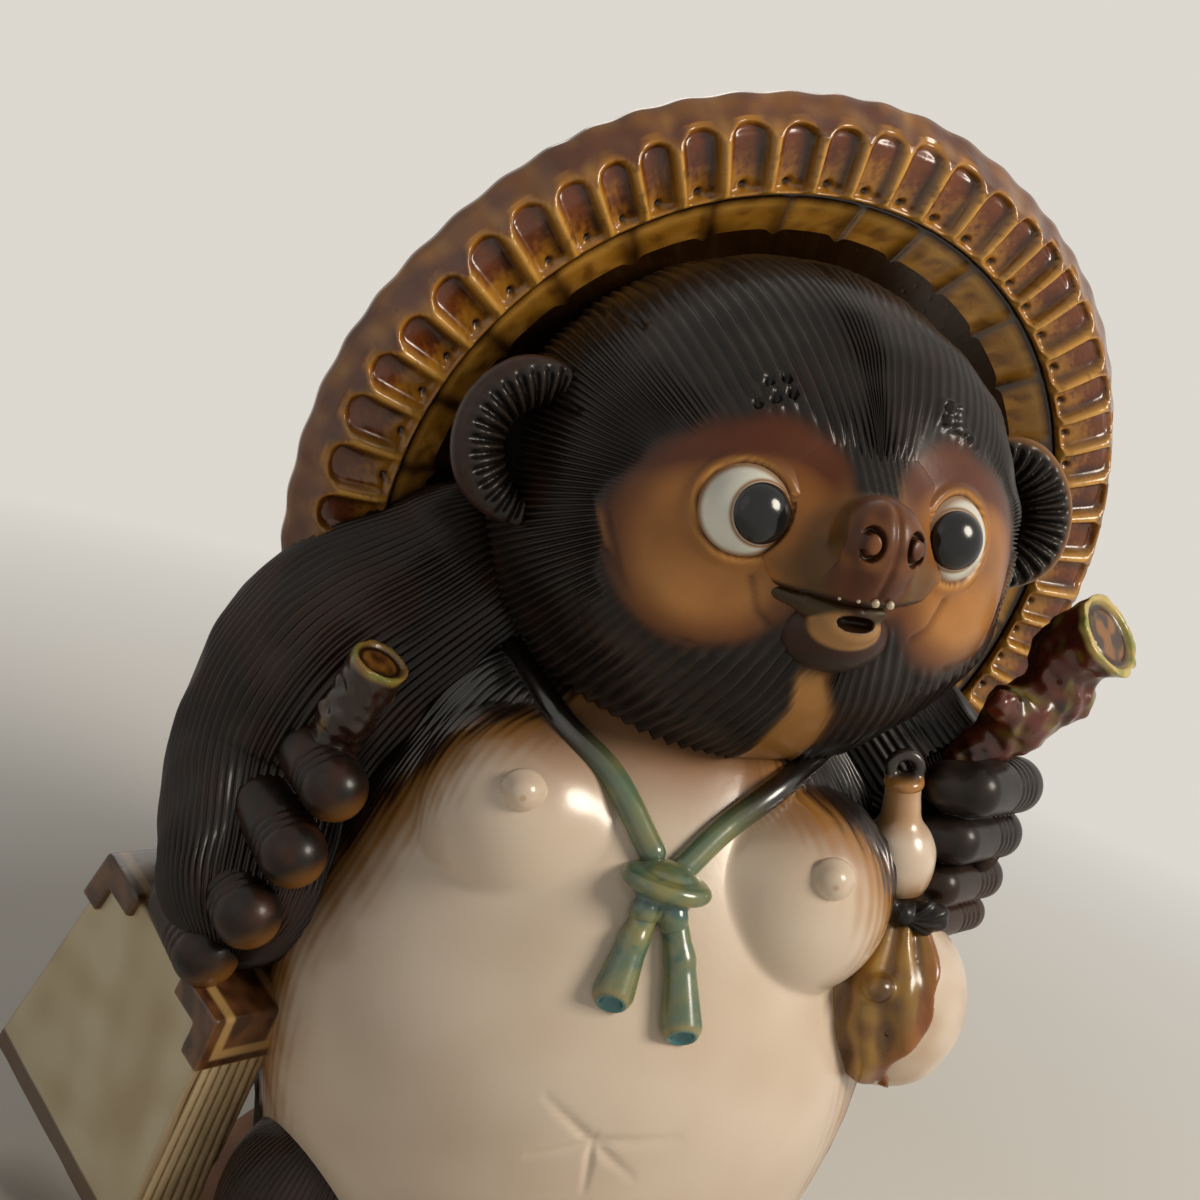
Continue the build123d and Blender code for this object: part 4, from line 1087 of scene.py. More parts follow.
        # Dark olive band under the upper lip: the mouth's own colour and partly painted shade
        rolled = ramp(5.0, 3.6, path_distance(p, lip_line)) * ramp(-27.5, -25.5, z)
        tint = mix(tint, colour("#3a2a10"), rolled)
        # Painted shade in the hollow of the lower lip
        return mix(tint, RECESS * 0.7, ramp(0.9, 0.2, scoop(p)) * 0.95)

    low = (-38, -106, -50)
    voxel_piece("lower_lip", jaw, low, (24, -62, -12), 0.6, jaw_paint, FACE, ["lower_jaw"], HEAD_PLACE)


def ear_pieces():
    """Ears with rolled and ribbed rims"""
    for name, side in SIDES:
        middle = np.array((side * EAR[0], EAR[1], EAR[2]))

        def ear(p, side=side, middle=middle):
            q = (p - middle) * (side, 1, 1)
            x, y, z = parts(q)
            angle = np.degrees(np.arctan2(z, x))
            out = np.hypot(x, z)
            # Rolled rim: an arch that thins towards both of its ends
            held = np.radians(np.clip(angle, -88, 112))
            across = np.hypot(x - EAR_RING * np.cos(held), z - EAR_RING * np.sin(held))
            arch = np.degrees(held)
            thick = 6.8 * (0.45 + 0.55 * ramp(-95, -20, arch)) * (0.6 + 0.4 * ramp(118, 60, arch))
            rim = np.hypot(across / 1.4, (y + 0.25 * (out - EAR_RING)) * 0.9) - thick
            ribbed = ramp(EAR_RING + 6, EAR_RING + 2, out) * ramp(EAR_RING - 12, EAR_RING - 8, out)
            rim = rim + 1.25 * ribbed * np.cos(np.radians(angle) * EAR_RIBS) * ramp(3, -3, y)
            bowl = ball(q, (-4, 8, 0), (29, 9, 27))
            bowl = carve(bowl, ball(q, (-2, -4, 0), (23, 12, 23)), 2.0)
            return smooth_min(rim, bowl, 3.0)

        def ear_paint(p, side=side, middle=middle):
            x, _, z = parts((p - middle) * (side, 1, 1))
            angle = np.arctan2(z, x)
            out = np.hypot(x, z)
            rib = -np.cos(angle * EAR_RIBS)
            edge = AMBER_EDGE if side > 0 else HAIR_BROWN
            # Painted highlight on the ribs and painted shade between them, and painted shade deepening into
            # the hollow of the ear
            tint = mix(combed_paint(rib, 0.7), edge, ramp(EAR_RING + 4, EAR_RING + 8, out) * 0.75)
            return mix(tint, HAIR_DEEP, ramp(EAR_RING - 9, EAR_RING - 14, out))

        low = middle - (40, 16, 40)
        high = middle + (40, 22, 40)
        voxel_piece(f"{name}_ear_cup", ear, low, high, 0.8, ear_paint, DARK, [f"{name}_ear"], HEAD_PLACE)


# Arms

def arm_pieces():
    """Arms with combed hair"""
    for name, line, radii, columns, rows in (
        ("right_arm", RIGHT_ARM, RIGHT_ARM_RADII, 432, 120),
        ("left_arm", LEFT_ARM, LEFT_ARM_RADII, 360, 60),
    ):
        points, normals, groove = combed_tube(line, radii, columns, rows, 3)
        lock = wave_noise(points, 28.0, 51)
        push = 0.85 * groove * (0.85 + 0.2 * lock) + 0.25 * lock
        points = points + normals * push[..., None]
        tone = wave_noise(points, 30.0, 53)
        # Combed hair with a painted highlight on its ridges and painted shade in its grooves
        paint = mix(combed_paint(groove, 0.7), HAIR_BROWN, np.clip(0.2 + 0.3 * tone, 0, 0.6))
        grid_piece(f"{name}_hair", points, paint, DARK, [name])


# Cord of the hat

def cord_pieces():
    """Strands of the hat's cord, laid on the body"""
    for name, places in (("cord_right_strand", CORD_RIGHT), ("cord_left_strand", CORD_LEFT)):
        spots = np.array(places)
        y = body_front(spots[:, 0], spots[:, 1]) - 2.0
        line = np.stack((spots[:, 0], y, spots[:, 1]), axis=-1)
        points, share = tube(line, np.full(len(line), CORD_RADIUS), 40, 120)
        tone = wave_noise(points, 12.0, 61)
        paint = mottled(colour("#5b6f55"), colour("#7f7f50"), 0.3, 0.4, tone)
        paint = mix(paint, HAIR, ramp(0.82, 0.55, share))
        grid_piece(f"{name}_rope", points, paint, GREEN, [name])


# Knot and tails of the cord, and the nipples

def body_spot(x, z, proud=0.0):
    """A point on the front of the body"""
    return np.array((x, body_front([x], [z])[0] - proud, z))


def green_paint(p):
    tone = wave_noise(p, 11.0, 63)
    fine_tone = wave_noise(p, 4.0, 64)
    tint = mottled(colour("#5c7056"), colour("#83804c"), 0.3, 0.35, tone)
    return mix(tint, colour("#2f5f5a"), np.clip(0.35 * fine_tone - 0.25, 0, 0.6))


def knot_pieces():
    """Knot and tails of the cord, and the nipples"""
    centre = body_spot(*CORD_KNOT, 3.0)

    def knot(p):
        q = p - centre
        x, y, z = parts(q)
        d = ball(q, (0, 0, 1), (12.5, 9.5, 8.5))
        band = np.hypot(np.hypot(x * 0.82, (y + 1) * 1.05) - 9.6, z - 2.0) - 3.4
        d = smooth_min(d, band, 1.5)
        for side in (-1, 1):
            d = smooth_min(d, ball(q, (side * 5.0, -5.0, -8.0), (5.2, 5.0, 6.0)), 1.5)
        return d

    def knot_paint(p):
        q = p - centre
        tint = green_paint(p)
        return mix(tint, colour("#24555a"), ramp(3.0, 0.5, np.abs(q[..., 2] + 4.0)) * 0.8)

    voxel_piece("cord_knot_wrap", knot, centre - 22, centre + 22, 0.6, knot_paint, GREEN, ["cord_knot"])
    for name, places in (("cord_right_tail", CORD_RIGHT_TAIL), ("cord_left_tail", CORD_LEFT_TAIL)):
        stations = np.array([body_spot(x, z, 2.5) for x, z in places])
        ahead = direction(stations[2] - stations[1])
        mouth = stations[2] + ahead * 4.0 + np.array((0, -3.5, 0))

        def tail(p, stations=stations, mouth=mouth):
            upper = limb(p, stations[0], stations[1], 4.6, 5.2)
            d = smooth_min(upper, limb(p, stations[1], stations[2], 5.2, 7.2), 2.0)
            return carve(d, ball(p, mouth, (4.2, 4.2, 4.6)), 1.2)

        def tail_paint(p, mouth=mouth):
            away = norm(p - mouth)
            tint = mix(green_paint(p), colour("#a08a52"), bell((away - 6.2) / 1.2) * 0.6)
            return mix(tint, colour("#2a7478"), ramp(6.2, 4.2, away))

        low = stations.min(0) - 12
        high = stations.max(0) + 12
        voxel_piece(f"{name}_end", tail, low, high, 0.5, tail_paint, GREEN, [name])
    for name, side in SIDES:
        spot = body_spot(side * NIPPLE[0], NIPPLE[1])

        def sprig(p, spot=spot):
            q = p - spot
            d = ball(q, (0, 0, 0), (6.4, 5.6, 6.4))
            return smooth_min(d, ball(q, (0, 1.5, 0), (8.2, 3.6, 8.2)), 2.0)

        def sprig_paint(p, spot=spot):
            dot = ramp(1.6, 0.6, norm(p - spot - (0, -5.6, 0)))
            return mix(mix(CREAM_TONE, CREAM_SHADE, np.full(len(p), 0.35)), HALO, dot * 0.5)

        solid = f"{name}_nipple"
        voxel_piece(f"{solid}_sprig", sprig, spot - 12, spot + 12, 0.5, sprig_paint, CREAM, [solid])


# Paws

def finger_pieces():
    """Fingers of both paws"""
    tips = np.array(RIGHT_FINGERS)
    reach = np.array(FINGER_REACH)
    back = direction(reach)

    def right_fingers(p):
        d = np.full(p.shape[:-1], FAR)
        for tip in tips:
            one = limb(p, tip + reach, tip, FINGER_RADIUS + 1.0, FINGER_RADIUS + 0.5)
            way = (p - tip) @ back
            for wrinkle in RIGHT_WRINKLES:
                one = one + 0.5 * bell((way - wrinkle) / 0.8)
            d = smooth_min(d, one, 3.0)
        return d

    def right_paint(p):
        near = np.argmin([norm(p - tip) for tip in tips], axis=0)
        away = p - tips[near]
        rim = ramp(4.0, 13.0, away @ np.array((0.6, -0.3, -0.74))) * ramp(17.0, 12.0, norm(away))
        tint = mottled(HAIR, HAIR_BROWN, 0.35, 0.3, wave_noise(p, 10.0, 71))
        # Painted shade in the wrinkles of the fingers
        for wrinkle in RIGHT_WRINKLES:
            tint = mix(tint, HAIR_DEEP, bell((away @ back - wrinkle) / 0.8) * 0.7)
        return mix(tint, AMBER_EDGE, rim * 0.75)

    low = tips.min(0) - 32
    high = tips.max(0) + 36
    voxel_piece("right_paw_fingers", right_fingers, low, high, 0.7, right_paint, DARK, ["right_fingers"])

    def left_fingers(p):
        d = np.full(p.shape[:-1], FAR)
        for z, radius in LEFT_FINGERS:
            start = np.array((*LEFT_FINGER_ROOT, z))
            stop = np.array((*LEFT_FINGER_BEND, z))
            one = limb(p, start, stop, radius, radius - 0.6)
            way = (p - start) @ direction(stop - start)
            for wrinkle in LEFT_WRINKLES:
                one = one + 0.6 * bell((way - wrinkle) / 0.9)
            d = smooth_min(d, one, 1.0)
            # Finger ends that come round on the inner side
            tip = ball(p, (*LEFT_FINGER_TIP, z - 2.0), (radius, radius - 1.0, radius - 1.5))
            d = smooth_min(d, tip, 4.0)
        return d

    def left_paint(p):
        tint = mottled(HAIR, HAIR_RIDGE, 0.4, 0.3, wave_noise(p, 9.0, 73))
        return mix(tint, HAIR_BROWN, ramp(246.0, 226.0, p[..., 2]) * 0.8)

    low = (82, -66, 204)
    high = (148, -4, 288)
    voxel_piece("left_paw_fingers", left_fingers, low, high, 0.7, left_paint, DARK, ["left_fingers"])


# Ledger

def ledger_pieces():
    """Pages, cover and corner caps of the ledger"""
    place = (turns(LEDGER_TURN, 0.0, 0.0) @ turns(0.0, 0.0, LEDGER_SLANT), np.array(LEDGER_TOP))
    half = LEDGER_TOP_WIDTH / 2
    wide = LEDGER_FOOT_WIDTH / 2
    middle = -LEDGER_HEIGHT / 2

    def straight(p):
        """Points with the flare towards the foot taken out"""
        flare = 1 + (wide / half - 1) * unit(-p[..., 2] / LEDGER_HEIGHT)
        return np.stack((p[..., 0] / flare, p[..., 1], p[..., 2]), axis=-1)

    def leaf(p):
        """Waves of the page edges, which fan out towards the foot"""
        _, y, z = parts(p)
        fan = 1.15 + 0.30 * z / LEDGER_HEIGHT
        return np.cos((y - LEDGER_COVER) * fan * 2 * np.pi / 4.6 + 0.5 * np.sin(z * 0.06))

    def pages(p):
        q = straight(p)
        depth = LEDGER_THICK - LEDGER_COVER
        d = block(q, (0, LEDGER_COVER + depth / 2, middle), (half, depth / 2, -middle), 1.0)
        return d + 0.7 * ramp(0.2, 1.0, leaf(p)) * ramp(half - 4, half - 1, np.abs(q[..., 0]))

    def pages_paint(p):
        tint = mix(colour("#d3bd94"), colour("#7a5430"), ramp(0.4, 1.0, leaf(p)) * 0.85)
        return mix(tint, RED_BROWN * 0.6, ramp(LEDGER_THICK - 6, LEDGER_THICK, p[..., 1]) * 0.6)

    low = (-wide - 3, LEDGER_COVER - 3, -LEDGER_HEIGHT - 3)
    high = (wide + 3, LEDGER_THICK + 3, 3)
    voxel_piece("ledger_leaves", pages, low, high, 0.8, pages_paint, LEDGER, ["ledger_pages"], place)

    def cover(p):
        d = block(straight(p), (0, LEDGER_COVER / 2, middle), (half, LEDGER_COVER / 2, -middle), 1.4)
        return d + 0.12 * wave_noise(p, 30.0, 81)

    def cover_paint(p):
        q = straight(p)
        tone = wave_noise(p, 26.0, 82)
        tint = mottled(colour("#cfc3a4"), colour("#b9a680"), 0.35, 0.3, tone)
        border = ramp(9.5, 8.5, q[..., 2] + LEDGER_HEIGHT)
        edge = ramp(1.8, 0.0, half - np.abs(q[..., 0]))
        return mix(mix(tint, colour("#4a2a18"), border * 0.9), HALO * 0.6, edge * 0.5)

    low = (-wide - 2, -2, -LEDGER_HEIGHT - 2)
    high = (wide + 2, LEDGER_COVER + 2, 2)
    voxel_piece("ledger_front", cover, low, high, 0.7, cover_paint, LEDGER, ["ledger_cover"], place)
    deep = LEDGER_THICK / 2

    def corner(p):
        """Points with both upper corners laid on one"""
        q = straight(p)
        return np.concatenate((np.abs(q[..., :1]), q[..., 1:]), axis=-1)

    def caps(p):
        q = corner(p)
        d = block(q, (half - 9.5, deep - 1.5, -8.5), (12.5, deep + 1.5, 11.5), 1.6)
        d = carve(d, block(q, (0, deep, middle), (half - 0.5, deep - 0.4, -middle - 0.5), 0.5), 0.6)
        # The front lip is short, so the cover shows within it
        return carve(d, block(q, (half - 27.0, -3.0, -27.0), (20.0, 4.0, 20.0), 1.0), 0.6)

    def caps_paint(p):
        _, y, z = parts(corner(p))
        tint = mottled(colour("#6a4426"), colour("#3a2214"), 0.5, 0.4, wave_noise(p, 9.0, 85))
        frame_edge = np.minimum(np.minimum(y + 3.0, LEDGER_THICK - y), z + 20.0)
        panel = ramp(4.0, 5.5, frame_edge) * ramp(9.5, 8.0, frame_edge)
        return mix(tint, colour("#b8955e"), np.maximum(panel, ramp(1.6, 0.4, z + 20.0)) * 0.8)

    low = (-half - 10, -6, -24)
    high = (half + 10, LEDGER_THICK + 3, 8)
    voxel_piece("ledger_caps", caps, low, high, 0.7, caps_paint, BRANCH, ["ledger_corner_caps"], place)


# Gourd flask

def gourd_pieces():
    """Gourd flask with its stopper, bow and cloth"""
    foot = np.array(GOURD_FOOT)
    axis = direction(np.array(GOURD_TOP) - foot)
    levels = np.array(GOURD_LEVELS)
    out = direction(np.cross(axis, (0, 1, 0)))
    front = np.cross(axis, out)
    rise = np.linspace(levels[0, 0], levels[-1, 0], 150)
    angle = full_turn(160)
    radius = through(levels[:, 0], levels[:, 1], rise)
    way = np.cos(angle)[:, None] * out + np.sin(angle)[:, None] * front
    points = foot + rise[:, None, None] * axis + radius[:, None, None] * way
    tone = wave_noise(points, 18.0, 91)
    paint = mottled(CREAM_TONE, CREAM_SHADE, 0.3, 0.2, tone)
    neck = bell((rise - GOURD_WAIST) / 7.0) + ramp(levels[-3, 0] - 8, levels[-2, 0], rise)
    paint = mix(paint, HALO, unit(neck[:, None] + 0.15 * tone) * 0.85)
    paint = mix(paint, HALO, ramp(10.0, 0.0, rise)[:, None] * np.ones((1, len(angle))) * 0.7)
    grid_piece("gourd_body", points, paint, CREAM, ["gourd_flask"])

    def local(p):
        """Points by their way out to the statue's right, to the front and up the gourd"""
        q = p - foot
        return np.stack((q @ out, q @ front, q @ axis), axis=-1)

    def stopper(p):
        q = local(p) - (0, 0, levels[-1, 0])
        x, y, z = parts(q)
        ring = np.hypot(np.hypot(x, z - 5.0) - 5.2, y) - 2.4
        return smooth_min(ring, ball(q, (0, 0, -0.5), (7.4, 7.4, 4.0)), 2.0)

    def stopper_paint(p):
        q = local(p) - (0, 0, levels[-1, 0])
        return mix(HALO, HAIR_RIDGE, ramp(0.5, 3.5, q[..., 2]))

    top = foot + axis * levels[-1, 0]
    voxel_piece("gourd_loop", stopper, top - 16, top + 18, 0.5, stopper_paint, AMBER, ["gourd_stopper"])
    waist = np.interp(GOURD_WAIST, levels[:, 0], levels[:, 1])

    def bow(p):
        q = local(p) - (0, 0, GOURD_WAIST)
        x, y, z = parts(q)
        d = np.hypot(np.hypot(x, y) - waist - 1.0, z) - 2.8
        # An open loop on one side of the knot and a flat, ribbed one on the other
        loop = q - (9.5, waist + 4.0, 0.5)
        ring = np.hypot(np.hypot(loop[..., 0], loop[..., 2] * 1.25) - 5.6, loop[..., 1]) - 2.7
        shell = ball(q, (-9.0, waist + 3.5, -3.0), (8.5, 5.0, 6.5))
        fan = np.degrees(np.arctan2(z + 3.0, -x - 1.0))
        shell = shell + 0.5 * np.cos(np.radians(fan) * 14) * (y > waist + 3.5)
        d = smooth_min(d, smooth_min(ring, shell, 1.0), 1.5)
        return smooth_min(d, ball(q, (0, waist + 4.5, -1.5), (4.4, 4.6, 4.6)), 1.5)

    def bow_paint(p):
        return mottled(HAIR_DEEP, HAIR_RIDGE, 0.35, 0.3, wave_noise(p, 6.0, 95))

    middle = foot + axis * GOURD_WAIST
    voxel_piece("gourd_bow", bow, middle - 32, middle + 32, 0.6, bow_paint, DARK, ["gourd_waist_cord"])

    def cloth_fold(height, bearing):
        """Folds of the cloth, which run down and gather below the knot"""
        wave = np.sin(np.radians(bearing) * 13 + height * 0.05 + 1.2 * np.sin(height * 0.09))
        return wave + 0.35 * np.sin(height * 0.30 + bearing * 0.12)

    def cloth(p):
        q = local(p)
        x, y, z = parts(q)
        skin = np.interp(z, rise, radius)
        bearing = np.degrees(np.arctan2(x, y))
        fold = cloth_fold(z, bearing)
        shell = np.abs(np.hypot(x, y) - skin - 0.8) - 1.8 - 1.1 * fold
        # The hem slants from the waist down to the foot
        slant = CLOTH_SLANT * (np.clip(z, 14.0, 80.0) - CLOTH_LEVEL)
        hem = CLOTH_MIDDLE - CLOTH_SPREAD - slant - bearing - 4 * np.sin(z * 0.22)
        edge = np.maximum(hem, bearing - CLOTH_MIDDLE - CLOTH_SPREAD) * 0.5
        ends = np.abs(z - 40.5) - 32.5 - 1.5 * np.sin(np.radians(bearing) * 5)
        d = carve(shell, -np.maximum(edge, ends), 2.0)
        return smooth_min(d, ball(q, (10, 27.5, 50), (6, 5, 5)), 3.0)

    def cloth_paint(p):
        x, y, z = parts(local(p))
        bearing = np.degrees(np.arctan2(x, y))
        tone = wave_noise(p, 14.0, 97)
        tint = mottled(colour("#9a752f"), colour("#7a5520"), 0.4, 0.3, tone)
        # Painted shade in the hollows of the folds
        tint = mix(tint, colour("#4a2a10"), ramp(0.1, -1.0, cloth_fold(z, bearing)) * 0.75)
        hem = bearing - CLOTH_MIDDLE + CLOTH_SPREAD + CLOTH_SLANT * (z - CLOTH_LEVEL)
        tint = mix(tint, colour("#8a4a1a"), ramp(22.0, 4.0, hem) * 0.7)
        return mix(tint, colour("#6a4a18"), ramp(14.0, 4.0, z) * 0.6)

    belly = foot + axis * 33.0
    voxel_piece("gourd_cloth", cloth, belly - 46, belly + 46, 0.9, cloth_paint, AMBER, ["gourd_leaf"])


# Branches

def branch_pieces():
    """Branches with cut ends"""
    for name, line, radii, shade, blotch, edge in (
        ("right_branch", RIGHT_BRANCH, RIGHT_BRANCH_RADII, "#24150e", "#8a6a2c", "#96743a"),
        ("left_branch", LEFT_BRANCH, LEFT_BRANCH_RADII, "#5b2412", "#8a8a3a", "#c9b26a"),
    ):
        stations = np.array(line)
        ahead = direction(stations[-1] - stations[-2])
        cut = (stations[-1], ahead, radii[-1])

        def to_end(p, cut):
            """Way past the cut end and share of the end's radius"""
            end, ahead, radius = cut
            way = (p - end) @ ahead
            return way, norm(p - end - way[..., None] * ahead) / radius

        def branch(p, stations=stations, radii=radii, cut=cut):
            d = np.full(p.shape[:-1], FAR)
            for i in range(len(stations) - 1):
                d = smooth_min(d, limb(p, stations[i], stations[i + 1], radii[i], radii[i + 1]), 5.0)
            if len(stations) > 2:
                d = smooth_min(d, ball(p, stations[1], (12.5,) * 3), 4.0)
                d = smooth_min(d, limb(p, stations[1], stations[1] + (-14.0, -14.0, 4.0), 7.0, 5.5), 3.0)
            d = d + 0.5 * wave_noise(p, 9.0, 101)
            way, reach = to_end(p, cut)
            d = np.maximum(d, way - 0.2)
            # Cut end: a raised rim, a groove and a shallow dish
            ring = np.hypot((reach - BRANCH_GROOVE) * cut[2], way) - 0.12 * cut[2]
            d = carve(d, ring, 0.8)
            dish = np.maximum((reach - 0.60) * cut[2], -way - 1.4)
            return carve(d, dish, 0.8)

        def branch_paint(p, cut=cut, shade=shade, blotch=blotch, edge=edge, stations=stations):
            way, reach = to_end(p, cut)
            tone = wave_noise(p, 12.0, 103)
            streak = wave_noise(p * (1.0, 1.0, 0.35), 6.0, 104)
            tint = mottled(colour(shade), colour("#2a120a"), 0.25, 0.3, tone)
            tint = mix(tint, colour(blotch), np.clip(0.3 * streak - 0.3, 0, 0.5))
            if len(stations) > 2:
                knob = ramp(16.0, 10.0, norm(p - stations[1]))
                tint = mix(tint, colour("#9a8a3e"), knob * np.clip(0.45 + 0.5 * tone, 0, 0.9))
            tint = mix(tint, colour(edge), ramp(-4.0, -1.0, way) * ramp(BRANCH_GROOVE, 0.82, reach))
            mossy = ramp(-3.0, -1.0, way) * ramp(0.6, 0.9, reach) * np.clip(0.6 * tone, 0, 0.7)
            tint = mix(tint, colour("#7d8a3a"), mossy)
            # Painted shade in the groove round the cut end
            tint = mix(tint, RECESS, bell((reach - BRANCH_GROOVE) / 0.10) * ramp(-5.0, -2.5, way) * 0.9)
            centre = ramp(0.64, 0.56, reach) * ramp(-5.0, -2.5, way)
            inner = mottled(colour("#8a5a24"), colour("#3a2012"), 0.4, 0.6, streak)
            return mix(tint, inner, centre)

        low = stations.min(0) - 26
        high = stations.max(0) + 26
        voxel_piece(f"{name}_wood", branch, low, high, 0.7, branch_paint, BRANCH, [name])


# Teeth, legs, feet, sack, tail and base

def low_pieces():
    """Teeth, legs, feet, sack, tail and base"""
    def teeth(p):
        d = np.full(p.shape[:-1], FAR)
        for x, y, size in TEETH:
            d = np.minimum(d, ball(p, (x, y, TEETH_HEIGHT), (size, size, size * 1.1)))
        return d

    def teeth_paint(p):
        return np.ones((len(p), 3)) * colour("#bcae92")

    low = (-18, -114, -26)
    high = (8, -98, -14)
    voxel_piece("teeth_row", teeth, low, high, 0.3, teeth_paint, WHITE, ["teeth"], HEAD_PLACE)

    def hair_paint(p):
        tone = wave_noise(p, 24.0, 111)
        tint = mottled(HAIR, HAIR_BROWN, 0.45, 0.4, tone)
        return mix(tint, HAIR_RIDGE, np.clip(0.3 * wave_noise(p, 6.0, 112), 0, 0.5))

    def foot_paint(p):
        return mix(hair_paint(p), AMBER_EDGE, ramp(-112.0, -120.0, p[..., 1]) * 0.7)

    for name, side in SIDES:
        x = BODY_X + side * LEG[0]

        def leg(p, x=x):
            return np.maximum(ball(p, (x, LEG[1], LEG[2]), (42.0, 42.0, 46.0)), BASE_THICK - p[..., 2])

        def leg_comb(p, x=x):
            return np.arctan2(p[:, 0] - x, -(p[:, 1] - LEG[1])) * 90.0

        low = (x - 46, -108, 10)
        high = (x + 46, -16, 98)
        voxel_piece(f"{name}_leg_hair", leg, low, high, 1.2, hair_paint, DARK, [f"{name}_leg"], comb=leg_comb)
        x = BODY_X + side * FOOT[0]

        def foot(p, x=x):
            d = ball(p, (x, FOOT[1], FOOT[2]), (22.0, 34.0, 22.0))
            for toe in range(4):
                d = smooth_min(d, ball(p, (x + (toe - 1.5) * TOE_PITCH, -112.0, 22.0), (6.2, 9.0, 9.0)), 1.6)
            return np.maximum(d, BASE_THICK - p[..., 2])

        low = (x - 28, -126, 10)
        high = (x + 28, -48, 52)
        voxel_piece(f"{name}_foot_toes", foot, low, high, 0.8, foot_paint, DARK, [f"{name}_foot"])

    def sack(p):
        x, y, z = parts(p)
        d = ball(p, SACK, (40.0, 40.0, 34.0))
        seam = np.abs(x - SACK[0])
        d = d + 2.2 * bell(seam / 2.2) * (y < SACK[1])
        wrinkle = 0.5 * np.sin(z * 0.9 + 2 * np.sin(x * 0.08)) * ramp(60.0, 78.0, z)
        return np.maximum(d + wrinkle, BASE_THICK - z)

    def sack_paint(p):
        tint = mottled(CREAM_TONE, CREAM_SHADE, 0.3, 0.2, wave_noise(p, 20.0, 115))
        seam = ramp(3.0, 0.0, np.abs(p[..., 0] - SACK[0]))
        return mix(tint, HALO, seam * 0.5 + ramp(24.0, 14.0, p[..., 2]) * 0.5)

    low = (SACK[0] - 44, -136, 10)
    high = (SACK[0] + 44, -48, 84)
    voxel_piece("money_sack_skin", sack, low, high, 1.0, sack_paint, CREAM, ["money_sack"])

    points, normals, groove = combed_tube(TAIL, TAIL_RADII, 240, 80, 2)
    points = points + normals * (0.6 * groove)[..., None]
    tone = wave_noise(points, 24.0, 117)
    # Combed hair with a painted highlight on its ridges
    paint = mix(combed_paint(groove, 0.0), HAIR_BROWN, np.clip(0.3 + 0.4 * tone, 0, 0.7))
    grid_piece("tail_hair", points, paint, DARK, ["tail"])

    low, high = (np.array(corner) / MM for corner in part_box("base_slab"))
    middle = (low + high) / 2
    half = (high - low) / 2
    angle = full_turn(360)
    outline = np.array(BASE_OUTLINE)
    share = np.linspace(0, len(outline) - 1, 40)
    size = np.interp(share, range(len(outline)), outline[:, 0])
    level = np.interp(share, range(len(outline)), outline[:, 1]) * high[2]
    points = np.stack(
        (
            middle[0] + half[0] * size[:, None] * np.sin(angle),
            middle[1] - half[1] * size[:, None] * np.cos(angle),
            level[:, None] * np.ones_like(angle),
        ),
        axis=-1,
    )
    tone = wave_noise(points, 40.0, 119)
    paint = mottled(colour("#8f6242"), colour("#6d452c"), 0.4, 0.4, tone)
    grid_piece("base_foot", points, paint, CLAY, ["base_slab"])


# Stage, light and camera

def stage():
    """A pale floor that fades into the backdrop"""
    bpy.ops.mesh.primitive_circle_add(vertices=96, radius=12.0, fill_type="NGON", location=(0, 0, 0))
    floor = bpy.context.object
    floor.name = "floor"
    material = bpy.data.materials.new("floor_pale")
    material.use_nodes = True
    tree = material.node_tree
    link = tree.links.new
    shader = tree.nodes["Principled BSDF"]
    shader.inputs["Base Color"].default_value = (*FLOOR_TINT, 1)
    shader.inputs["Roughness"].default_value = 0.9
    place = node(tree, "ShaderNodeTexCoord")
    away = node(tree, "ShaderNodeVectorMath", operation="LENGTH")
    fade = node(tree, "ShaderNodeMapRange", **{"From Min": 0.35, "From Max": 1.3})
    glow = node(tree, "ShaderNodeEmission", Color=(*BACKDROP, 1))
    blend = node(tree, "ShaderNodeMixShader")
    link(place.outputs["Object"], away.inputs[0])
    link(away.outputs["Value"], fade.inputs["Value"])
    link(fade.outputs["Result"], blend.inputs["Fac"])
    link(shader.outputs["BSDF"], blend.inputs[1])
    link(glow.outputs["Emission"], blend.inputs[2])
    link(blend.outputs["Shader"], tree.nodes["Material Output"].inputs["Surface"])
    floor.data.materials.append(material)


def lamp(name, place, target, power, size, tint):
    """A round lamp that looks at a target"""
    data = bpy.data.lights.new(name, "AREA")
    data.energy = power
    data.shape = "DISK"
    data.size = size
    data.color = tint
    light = bpy.data.objects.new(name, data)
    bpy.context.scene.collection.objects.link(light)
    ahead = direction(np.subtract(target, place))
    right = direction(np.cross(ahead, (0, 0, 1)))
    light.matrix_world = pose(right, np.cross(right, ahead), ahead, place)


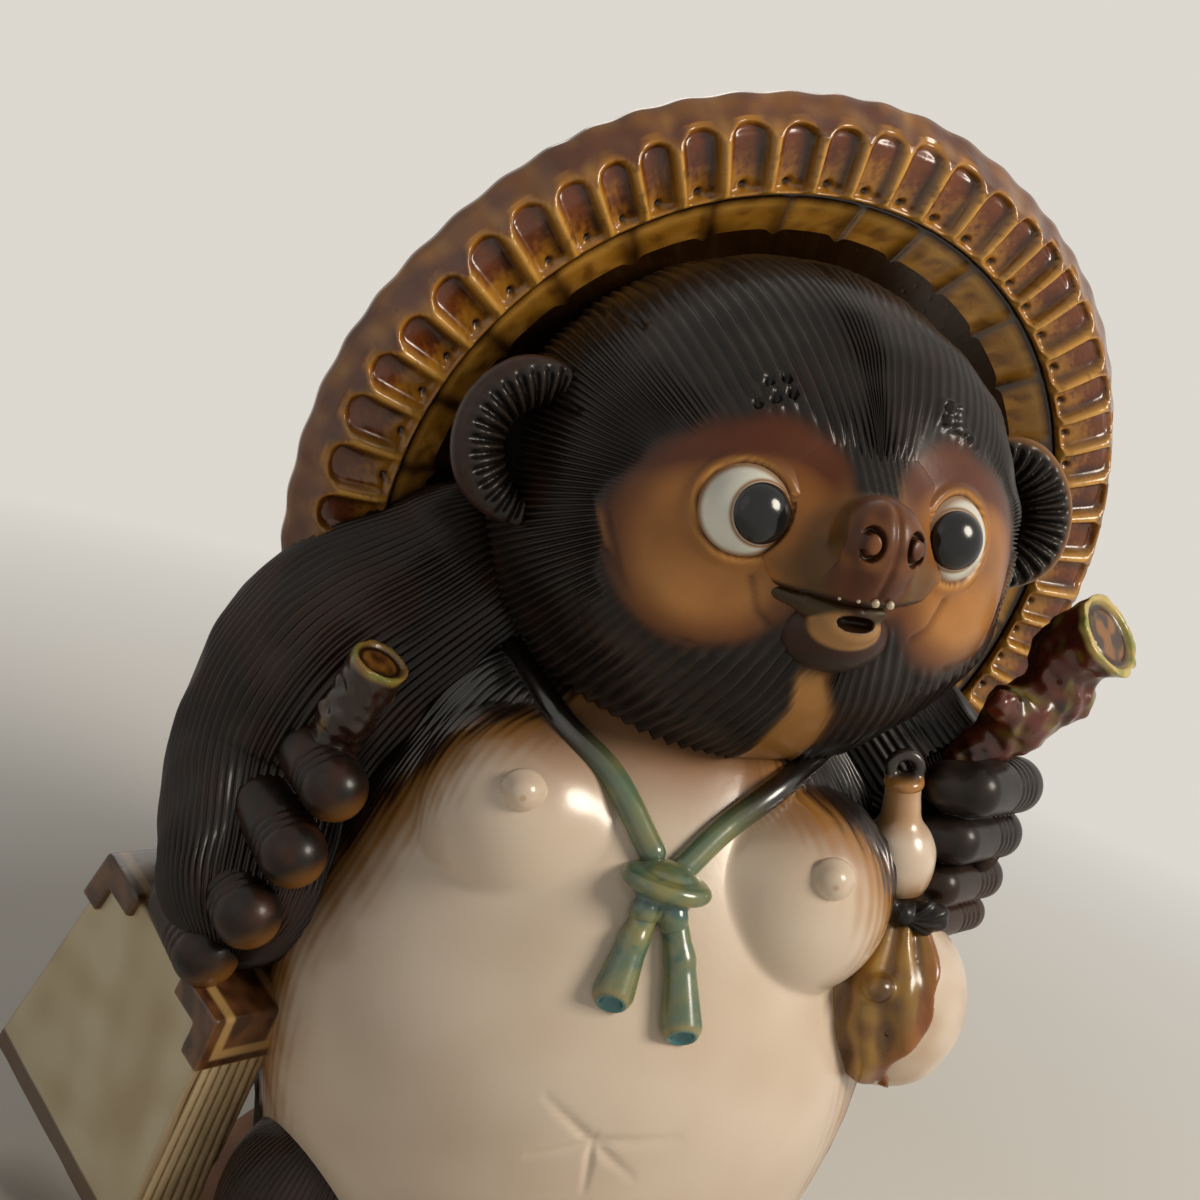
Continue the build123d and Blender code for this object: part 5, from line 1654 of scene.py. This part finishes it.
def pose(right, up, ahead, place):
    """A placing that looks ahead"""
    columns = np.stack((right, up, -np.asarray(ahead), place), axis=-1)
    return Matrix(np.vstack((columns, (0, 0, 0, 1))).tolist())


def light_and_camera():
    """Lamps, backdrop and the camera of the photograph"""
    scene = bpy.context.scene
    scene.view_settings.view_transform = "Standard"
    for values in LAMPS:
        lamp(*values)
    world = bpy.data.worlds.new("studio")
    world.use_nodes = True
    tree = world.node_tree
    link = tree.links.new
    around = tree.nodes["Background"]
    around.inputs["Color"].default_value = (*BACKDROP, 1)
    around.inputs["Strength"].default_value = BACKDROP_LIGHT
    seen = node(tree, "ShaderNodeBackground", Color=(*BACKDROP, 1))
    path = node(tree, "ShaderNodeLightPath")
    blend = node(tree, "ShaderNodeMixShader")
    glossy = node(tree, "ShaderNodeMath", operation="MAXIMUM")
    through_glass = node(tree, "ShaderNodeMath", operation="MAXIMUM")
    link(path.outputs["Is Camera Ray"], glossy.inputs[0])
    link(path.outputs["Is Glossy Ray"], glossy.inputs[1])
    link(glossy.outputs["Value"], through_glass.inputs[0])
    link(path.outputs["Is Transmission Ray"], through_glass.inputs[1])
    link(through_glass.outputs["Value"], blend.inputs["Fac"])
    link(around.outputs["Background"], blend.inputs[1])
    link(seen.outputs["Background"], blend.inputs[2])
    link(blend.outputs["Shader"], tree.nodes["World Output"].inputs["Surface"])
    scene.world = world
    camera = bpy.data.cameras.new("camera")
    camera.sensor_width = SENSOR
    camera.lens = SENSOR * FOCAL_PIXELS / PHOTO_SIDE
    camera.clip_start = 0.01
    viewer = bpy.data.objects.new("camera", camera)
    scene.collection.objects.link(viewer)
    viewer.matrix_world = pose(CAMERA_RIGHT, CAMERA_UP, CAMERA_AHEAD, np.array(CAMERA_PLACE) * MM)
    scene.camera = viewer


hat_pieces()
body_pieces()
head_piece()
eye_pieces()
muzzle_pieces()
ear_pieces()
arm_pieces()
cord_pieces()
knot_pieces()
finger_pieces()
ledger_pieces()
gourd_pieces()
branch_pieces()
low_pieces()
stage()
light_and_camera()
